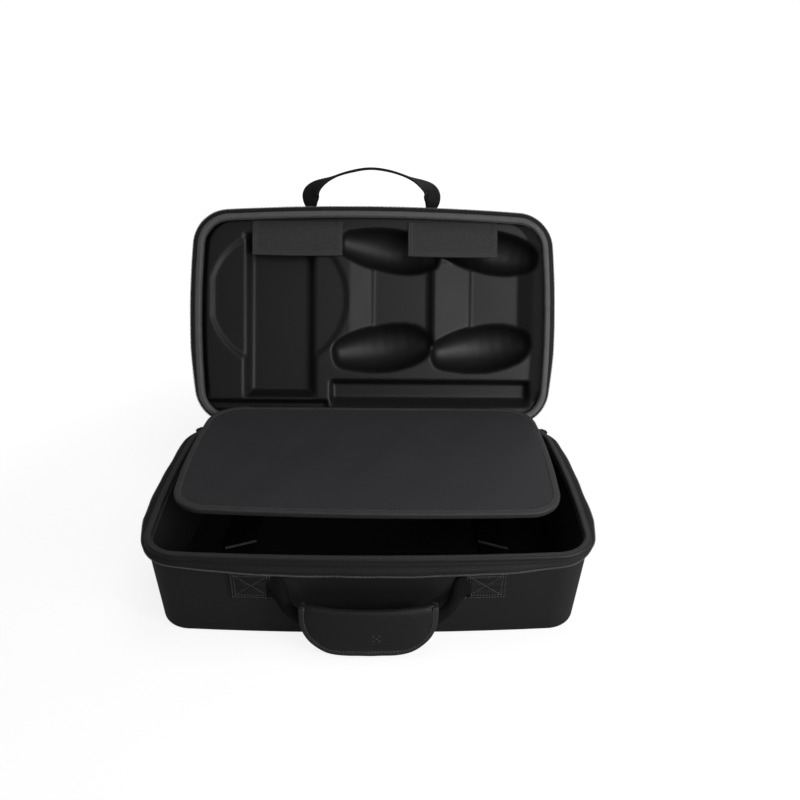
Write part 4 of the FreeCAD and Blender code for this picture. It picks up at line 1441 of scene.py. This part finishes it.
@dataclass
class BaseHandle:
    """Webbing strap between two sewn patches, with a padded grip folded over its middle."""

    half: float = 61.0
    top: float = 53.0
    bottom: float = 3.0
    corner: float = 36.0
    thickness: float = 10.5
    inset: float = 3.0
    seam: float = 4.2
    hem_half: float = 4.2
    wall_level: float = 61.5
    stand_off: float = 19.0
    bow: float = 5.0
    foot_lean: float = 2.6
    held: tuple[float, float, float] = (0.080, -0.122, 0.060)
    free: tuple[float, float, float] = (0.062, -0.122, 0.038)
    cross: tuple[tuple[tuple[float, float], ...], ...] = (
        ((4.4, 22.0), (9.6, 27.2)), ((4.4, 27.2), (9.6, 22.0)))
    strap_knots: tuple[tuple[float, float, float, float], ...] = (
        (90.0, 61.5, 1.3, 13.5), (85.5, 61.3, 1.9, 13.0), (81.5, 57.5, 4.0, 8.0),
        (76.5, 49.0, 8.5, 5.8), (70.5, 40.0, 12.5, 6.0), (60.0, 33.5, 15.0, 7.5),
        (50.0, 31.0, 16.0, 9.0))

    def at(self, x: np.ndarray, z: np.ndarray, back: np.ndarray | float) -> np.ndarray:
        """Points at a distance behind the grip's middle surface."""
        middle = front_wall(x, self.wall_level) - self.stand_off + self.bow * (x / 64.0) ** 2
        return np.stack([x, middle + self.lean(z) + back, z], axis=-1)

    def reach(self, z: np.ndarray) -> np.ndarray:
        """Half of the grip's width at a height."""
        drop = np.clip(self.bottom + self.corner - z, 0, self.corner)
        return self.half - self.corner + np.sqrt(self.corner**2 - drop**2)

    def lean(self, z: np.ndarray) -> np.ndarray:
        """How far the foot of the hanging grip stands out at a height."""
        return -self.foot_lean * np.clip((self.top - z) / (self.top - self.bottom), 0, 1) ** 1.3

    def cushion(self) -> bpy.types.Object:
        """Make the padded grip."""
        w, u = np.meshgrid(np.linspace(0, 1, 40), np.linspace(-1, 1, 64), indexing="ij")
        low = self.bottom + self.inset
        z = low + (self.top - low) * w
        x = u * (self.reach(z) - self.inset)
        rim = np.minimum(self.reach(z) - self.inset - np.abs(x), z - low)
        fold = np.clip((self.top - z) / 6.0, 0, 1)
        puff = np.sqrt(np.clip(1 - (1 - np.clip(rim / 16.0, 0, 1)) ** 2, 0, 1))
        half = (1.2 + (self.thickness / 2 - 1.9) * puff) * np.sqrt(np.clip(1 - (1 - fold) ** 2, 0.02, 1))
        piece = slab("grip_pad", self.at(x, z, -half), self.at(x, z, half), np.stack([x, z], axis=-1))
        puff_up(piece, voxel=4.0, pressure=4.0, cap=1.6)
        dress(piece, GRIP_CLOTH)
        return piece

    @staticmethod
    def front_of(pad: bpy.types.Object, x: float, z: float) -> float:
        """Y of the pad's front surface at a place, in millimetres."""
        points = corners_of(pad.data) / MM
        near = np.hypot(points[:, 0] - x, points[:, 2] - z) < 3.0
        return float(points[near, 1].min())

    def edge_line(self) -> np.ndarray:
        """X and Z along the bound edge, down the right side and up the left one."""
        inner, foot = self.half - self.corner, self.bottom + self.corner
        side = [(self.half, z) for z in np.linspace(self.top - 1.5, foot, 8, endpoint=False)]
        for turn in np.linspace(0, math.pi / 2, 12):
            side.append((inner + self.corner * math.cos(turn), foot - self.corner * math.sin(turn)))
        side += [(x, self.bottom) for x in np.linspace(inner, 0, 7)[1:]]
        return smooth_path(np.array(side + [(-x, z) for x, z in side[-2::-1]]), 90)

    def hem(self, pad: bpy.types.Object) -> list[bpy.types.Object]:
        """Make the bound edge of the grip, its stitches and the small cross on its pad."""
        line = self.edge_line()
        step = unit(np.gradient(line, axis=0))
        out = np.stack([-step[:, 1], step[:, 0]], axis=-1)
        run = arc_length(line)
        turn = np.linspace(0, math.tau, 22, endpoint=False)
        inward = 3.1 * bulge(np.cos(turn), 0.6) - 2.5
        thick = self.hem_half * bulge(np.sin(turn), 0.5)
        x, z = np.moveaxis(line[:, None] + out[:, None] * inward[:, None], -1, 0)
        ripple = 0.12 * np.sin(run / 3.1)[:, None]
        piece = tube("grip_binding", self.at(x, z, thick + ripple), run, False)
        dress(piece, HEM_TAPE)
        seam = (line - self.seam * out).T
        lift = self.hem_half - 0.1
        lines = [(self.at(*seam, sign * lift), np.array([0.0, sign, 0.0])) for sign in (-1, 1)]
        for ends in self.cross:
            mark = np.linspace(*np.array(ends), 8)
            y = [self.front_of(pad, *spot) for spot in mark]
            lines.append((np.stack([mark[:, 0], y, mark[:, 1]], axis=-1), np.array([0.0, -1.0, 0.0])))
        return [piece, sew("grip", lines, spacing=2.8, size=(2.1, 0.6, 0.5))]

    def strap(self, side: int) -> bpy.types.Object:
        """Make one end of the webbing strap.

        Args:
            side: -1 for the left end, 1 for the right one.

        Returns:
            The strap.
        """
        line = smooth_path(self.strap_knots, 40)
        x = line[:, 0] * side
        path = np.stack([x, front_wall(x, line[:, 1]) - line[:, 2], line[:, 1]], axis=-1)
        cup = np.interp(line[:, 0], (50, 62, 78, 85), (2.2, 3.6, 3.6, 0.2))
        name = "strap_left" if side < 0 else "strap_right"
        piece = band(name, path, np.array([0.0, -1.0, 0.0]), line[:, 3], 2.4, cup)
        # The strap's ends get the darker copy of the webbing, which is painted shade.
        dress(piece, STRAP_WEB_PAINTED_SHADE)
        return piece

    def build(self) -> None:
        """Make the handle."""
        pad = self.cushion()
        fit([pad, *self.hem(pad)], "base_handle", "base_handle_grip")
        for side in (-1, 1):
            strap = self.strap(side)
            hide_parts("base_handle_strap")
            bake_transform(strap)


def settled(piece: bpy.types.Object) -> bpy.types.Mesh:
    """New mesh of a piece with its modifiers applied."""
    graph = bpy.context.evaluated_depsgraph_get()
    return bpy.data.meshes.new_from_object(piece.evaluated_get(graph))


def apply_modifiers(piece: bpy.types.Object) -> None:
    """Make a piece's modifiers part of its mesh."""
    mesh = settled(piece)
    piece.modifiers.clear()
    piece.data = mesh


def corners_of(mesh: bpy.types.Mesh) -> np.ndarray:
    """Places of a mesh's vertices, in metres."""
    return np.array([vertex.co for vertex in mesh.vertices])


def puff_up(piece: bpy.types.Object, voxel: float, pressure: float, cap: float, frames: int = 20) -> None:
    """Swell a padded piece with a short cloth simulation.

    Args:
        piece: Closed mesh object.
        voxel: Size of the even mesh, in millimetres.
        pressure: Pressure inside.
        cap: Furthest that a point may move, in millimetres.
        frames: Number of frames that the simulation runs for.
    """
    scene = bpy.context.scene
    even = piece.modifiers.new("even", "REMESH")
    even.mode, even.voxel_size = "VOXEL", voxel * MM
    apply_modifiers(piece)
    rest = corners_of(piece.data)
    cloth = piece.modifiers.new("cloth", "CLOTH")
    cloth.settings.use_pressure = True
    cloth.settings.uniform_pressure_force = pressure
    cloth.settings.effector_weights.gravity = 0.0
    cloth.settings.shrink_min = -0.03
    cloth.point_cache.frame_start, cloth.point_cache.frame_end = 1, frames
    for number in range(1, frames + 1):
        scene.frame_set(number)
    moved = corners_of(settled(piece)) - rest
    scene.frame_set(1)
    piece.modifiers.clear()
    length = np.linalg.norm(moved, axis=1, keepdims=True)
    moved *= np.minimum(1.0, cap * MM / np.maximum(length, 1e-9))
    piece.data.vertices.foreach_set("co", (rest + moved).ravel())
    piece.modifiers.new("fine", "SUBSURF").levels = 1
    apply_modifiers(piece)
    shade_smooth(piece.data)


@dataclass
class FloorStrap:
    """Half of a hook-and-loop strap on the floor of the base."""

    name: str
    node: str
    x: float
    knots: tuple[tuple[float, float], ...]
    skew: float = 0.0
    width: float = 31.0
    thickness: float = 1.8

    def build(self) -> None:
        """Make the strap, the seam near its sewn end and the hem at a skewed free end."""
        line = smooth_path(self.knots, 70)
        share, u = np.meshgrid(np.linspace(0, 1, len(line)), bunched(24), indexing="ij")
        x = self.x + u * self.width / 2
        y = line[:, 0, None] + self.skew * u * share**3
        slope = unit(np.gradient(line, axis=0))
        up = np.stack([-slope[:, 1], slope[:, 0]], axis=-1) * np.sign(slope[:, :1])
        edge = np.minimum((1 - np.abs(u)) * self.width / 2, 9.0)
        half = self.thickness / 2 * (1 - 0.5 * np.exp(-edge / 0.7))
        wave = np.abs(0.25 * np.sin(x / 9.0 + y / 21.0) * share)
        lift = up[:, None] * half[..., None]
        high = np.stack([x, y + lift[..., 0], line[:, None, 1] + lift[..., 1] + wave], axis=-1)
        low = np.stack([x, y - lift[..., 0], line[:, None, 1] - lift[..., 1] + wave], axis=-1)
        run = arc_length(line)
        flat = np.stack([np.broadcast_to(run[:, None], x.shape), x - self.x], axis=-1)
        piece = slab(self.name, high, low, flat)
        dress(piece, FLOOR_WEBBING)
        above = np.array([0.0, 0.0, 1.0])
        lines = [(high[row] + 0.1 * above, above) for row in (3, 8)]
        extras = [sew(self.name, lines, spacing=2.6, size=(2.0, 0.6, 0.5))]
        if self.skew:
            turn = np.linspace(0, math.tau, 12, endpoint=False)
            end = (high[-1] + low[-1]) / 2
            ring = np.stack([0 * turn, 1.5 * np.cos(turn), 1.35 * np.sin(turn)], axis=-1)
            hem = tube(self.name + "_hem", end[:, None] + ring, arc_length(end), False)
            dress(hem, FLOOR_HEM)
            extras.append(hem)
        fit([piece, *extras], "base", self.node)


@dataclass
class HingeCloth:
    """Fabric strip behind the two shells that the lid folds back on."""

    half: float = 150.0
    thickness: float = 1.1
    reaches: tuple[float, ...] = (28.0, 20.0, 13.5)

    def leg(self, height: float, draft: float) -> np.ndarray:
        """Points along one half, from its sewn end up to the fold, on the closed base side."""
        wall = SHELL.depth / 2 + 0.9
        places = [(0.0, wall - draft * reach / height, CASE.rim - reach) for reach in self.reaches]
        places += [(0.0, CASE.hinge_y - 0.3, CASE.rim - 7.5), (0.0, CASE.hinge_y, CASE.rim - 3.0)]
        return np.array(places)

    def build(self) -> None:
        """Make the strip."""
        lower = self.leg(CASE.rim, CASE.base_draft)
        upper = CASE.on_lid(CASE.mirrored(self.leg(CASE.lid_height, CASE.lid_draft)))
        line = smooth_path(np.concatenate([lower, upper[::-1]]), 80)
        along = unit(np.gradient(line, axis=0))
        normal = np.stack([0 * along[:, 0], along[:, 2], -along[:, 1]], axis=-1)
        run, x = np.meshgrid(arc_length(line), np.linspace(-self.half, self.half, 120), indexing="ij")
        wave = 0.18 * np.sin(x / 13.0) * np.sin(run / 4.0)
        middle = line[:, None] + np.array([1.0, 0, 0]) * x[..., None]
        lift = normal[:, None] * (self.thickness / 2 + wave)[..., None]
        drop = normal[:, None] * (-self.thickness / 2 + wave)[..., None]
        piece = slab("hinge_cloth_strip", middle + lift, middle + drop, np.stack([x, run], axis=-1))
        dress(piece, HINGE_STRIP)
        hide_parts("hinge_tape")
        turn = math.radians(CASE.open_angle)
        lid_leg = np.array([0.0, math.sin(turn), math.cos(turn)])
        toward = unit(lid_leg - np.array([0.0, 0.0, -1.0])) * 4.0
        axis = np.array([0.0, CASE.hinge_y, CASE.rim])
        tuple((axis - toward) * MM)
        tuple((axis + toward) * MM)
        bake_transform(piece)


@dataclass
class DividerStrip:
    """Fabric strip on the tray with a rolled bead that carries the divider."""

    half: float = 140.0
    knots: tuple[tuple[float, float], ...] = (
        (4.0, 9.3), (2.6, 9.1), (1.9, 7.9), (1.2, 7.0), (0.0, 6.75),
        (-1.2, 7.0), (-1.9, 7.9), (-2.4, 9.1), (-3.0, 9.4))

    def build(self) -> None:
        """Make the strip."""
        line = smooth_path(self.knots, 40) + np.array([CASE.divider_back, 0.0])
        s, x = np.meshgrid(line[:, 0], np.linspace(-self.half, self.half, 100), indexing="ij")
        depth = line[:, 1, None] + 0.12 * np.sin(x / 8.0)
        face = CASE.tray_point(x, s, depth)
        back = CASE.tray_point(x, s, np.maximum(depth + 0.5, 9.75))
        run = np.broadcast_to(arc_length(line)[:, None], x.shape)
        piece = slab("divider_strip", face, back, np.stack([x, run], axis=-1))
        # The strip gets the darker copy of the hinge fabric, which is painted shade.
        dress(piece, HINGE_CLOTH_PAINTED_SHADE)
        fit([piece], "lid", "divider_hinge_strip")


@dataclass
class Studio:
    """Camera at the photographed angle, pale floor and soft light."""

    eye: tuple[float, float, float] = (10.4, -618.5, 499.0)
    yaw: float = -1.6
    pitch: float = -26.8
    roll: float = -1.12
    focal_pixels: float = 726.0
    ambient: float = 0.03
    mirrored: float = 0.07
    white: tuple[float, float, float, float] = (1.0, 1.0, 1.0, 1.0)

    def camera(self) -> None:
        """Place the camera."""
        data = bpy.data.cameras.new("camera")
        data.sensor_width = 36.0
        data.sensor_fit = "HORIZONTAL"
        data.lens = self.focal_pixels / 800.0 * data.sensor_width
        angles = ((self.yaw, "Z"), (self.pitch, "X"), (self.roll, "Y"), (90.0, "X"))
        pose = Matrix.Translation(Vector(self.eye) * MM)
        for angle, axis in angles:
            pose = pose @ Matrix.Rotation(math.radians(angle), 4, axis)
        camera = add_object("camera", data)
        camera.matrix_world = pose
        bpy.context.scene.camera = camera

    def floor(self) -> None:
        """Lay the pale floor, which shows white and keeps the shadow."""
        mesh = bpy.data.meshes.new("floor")
        mesh.from_pydata([(-6, -4, 0), (6, -4, 0), (6, 8, 0), (-6, 8, 0)], [], [(0, 1, 2, 3)])
        floor = add_object("floor", mesh)
        pad = NodePad(bpy.data.materials.new("floor_paper"))
        seen, shiny = pad.ray("Is Camera Ray"), pad.ray("Is Glossy Ray")
        x, y, _ = pad.split(pad.spot())
        close = 1.0 - (x * x + y * y).ramp(0.12, 0.6)
        matt = pad.node("ShaderNodeBsdfDiffuse", {}, {"Color": (0.98, 0.98, 0.98, 1.0)})
        glow = pad.node("ShaderNodeEmission", {}, {"Color": self.white, "Strength": 0.1 + 1.25 * seen})
        share = seen * (0.80 - 0.16 * close) + shiny * 0.8
        mesh.materials.append(pad.close(pad.node("ShaderNodeMixShader", {}, {0: share, 1: matt, 2: glow})))

    def lights(self) -> None:
        """Hang the soft lights and the pale surround."""
        pad = NodePad(bpy.data.worlds.new("surround"), "World")
        strength = pad.ray("Is Camera Ray") + self.ambient + self.mirrored * pad.ray("Is Glossy Ray")
        back = pad.node("ShaderNodeBackground", {}, {"Color": self.white, "Strength": strength})
        bpy.context.scene.world = pad.close(back)
        self.lamp("key", (0.62, -1.0, 1.02), (0.0, 0.15, 0.2), size=0.9, power=4.2)
        self.lamp("back", (0.66, 1.15, 1.15), (0.0, 0.0, 0.1), size=0.9, power=1.8)
        self.lamp("fill", (-1.3, -0.2, 0.9), (0.0, 0.1, 0.1), size=0.9, power=0.5)
        self.lamp("low", (0.75, -0.55, 0.3), (0.15, -0.12, 0.05), size=0.3, power=2.4)
        self.lamp("top", (0.2, 0.1, 1.6), (0.05, 0.05, 0.1), size=0.8, power=4.6, shine=False)

    def lamp(self, name: str, place: Sequence[float], target: Sequence[float], size: float, power: float,
             shine: bool = True) -> None:
        """Hang one square soft box.

        Args:
            name: Name of the lamp.
            place: Where it hangs, in metres.
            target: Where it points.
            size: Edge of the box, in metres.
            power: Power in watts.
            shine: Whether it is mirrored in the finishes, or only lights them.
        """
        data = bpy.data.lights.new(name, "AREA")
        data.size = size
        data.energy = power
        lamp = add_object(name, data)
        lamp.location = place
        lamp.visible_glossy = shine
        lamp.rotation_euler = (Vector(target) - Vector(place)).to_track_quat("-Z", "Y").to_euler()

    def build(self) -> None:
        """Set up the studio."""
        bpy.context.scene.view_settings.view_transform = "Standard"
        self.camera()
        self.floor()
        self.lights()


def main() -> None:
    """Build the case's looks piece by piece."""
    logging.basicConfig(level=logging.INFO, format="%(message)s")
    Studio().build()
    finishes = {
        "base_shell": BASE_CLOTH, "lid_shell": SHELL_CLOTH,
        "zipper_slider_left": SLIDER_ENAMEL, "zipper_slider_right": SLIDER_ENAMEL,
        "zipper_pull_left": SLIDER_ENAMEL, "zipper_pull_right": SLIDER_ENAMEL,
    }
    for node, finish in finishes.items():
        dress(frame["nodes"][node], finish)
    # The lid's binding gets the lighter copy of the tape, which is painted light.
    rims = (("base", CASE.base_wall, BINDING_TAPE), ("lid", CASE.lid_wall, LID_BINDING_PAINTED_LIGHT))
    for body, wall, finish in rims:
        RimBinding(body + "_binding", body, body + "_rim_binding", wall, finish).build()
    for body in ("base", "lid"):
        ZipTape(body + "_tape", body, body + "_zipper_tape").build()
    LidTray().build()
    front = ((-101.8, 5.3), (-60.0, 5.3), (-20.0, 5.3), (26.0, 5.3))
    rear = ((101.8, 5.3), (70.0, 5.3), (46.0, 5.5), (34.0, 6.8), (24.0, 7.6), (8.0, 7.8))
    for side, x in (("left", -139.0), ("right", 131.0)):
        sign = 1 if side == "right" else -1
        LidFlap("flap_" + side, "lid_flap_" + side, 1.4 + sign * 90.5).build()
        WallPatch("patch_" + side, "base_handle_patch_" + side, "base",
                  x=sign * 104.0, level=61.5, width=39.0, height=32.0).build()
        WallPatch("lid_patch_" + side, "lid_handle_patch_" + side, "lid",
                  x=sign * 72.5 - 3.5, level=124.0, width=26.0, height=28.0).build()
        FloorStrap("floor_front_" + side, "floor_strap_%s_front" % side, x, front).build()
        FloorStrap("floor_rear_" + side, "floor_strap_%s_rear" % side, x, rear, -6.0 * sign).build()
    LidHandle().build()
    Divider().build()
    BaseHandle().build()
    HingeCloth().build()
    DividerStrip().build()


if __name__ == "__main__":
    main()
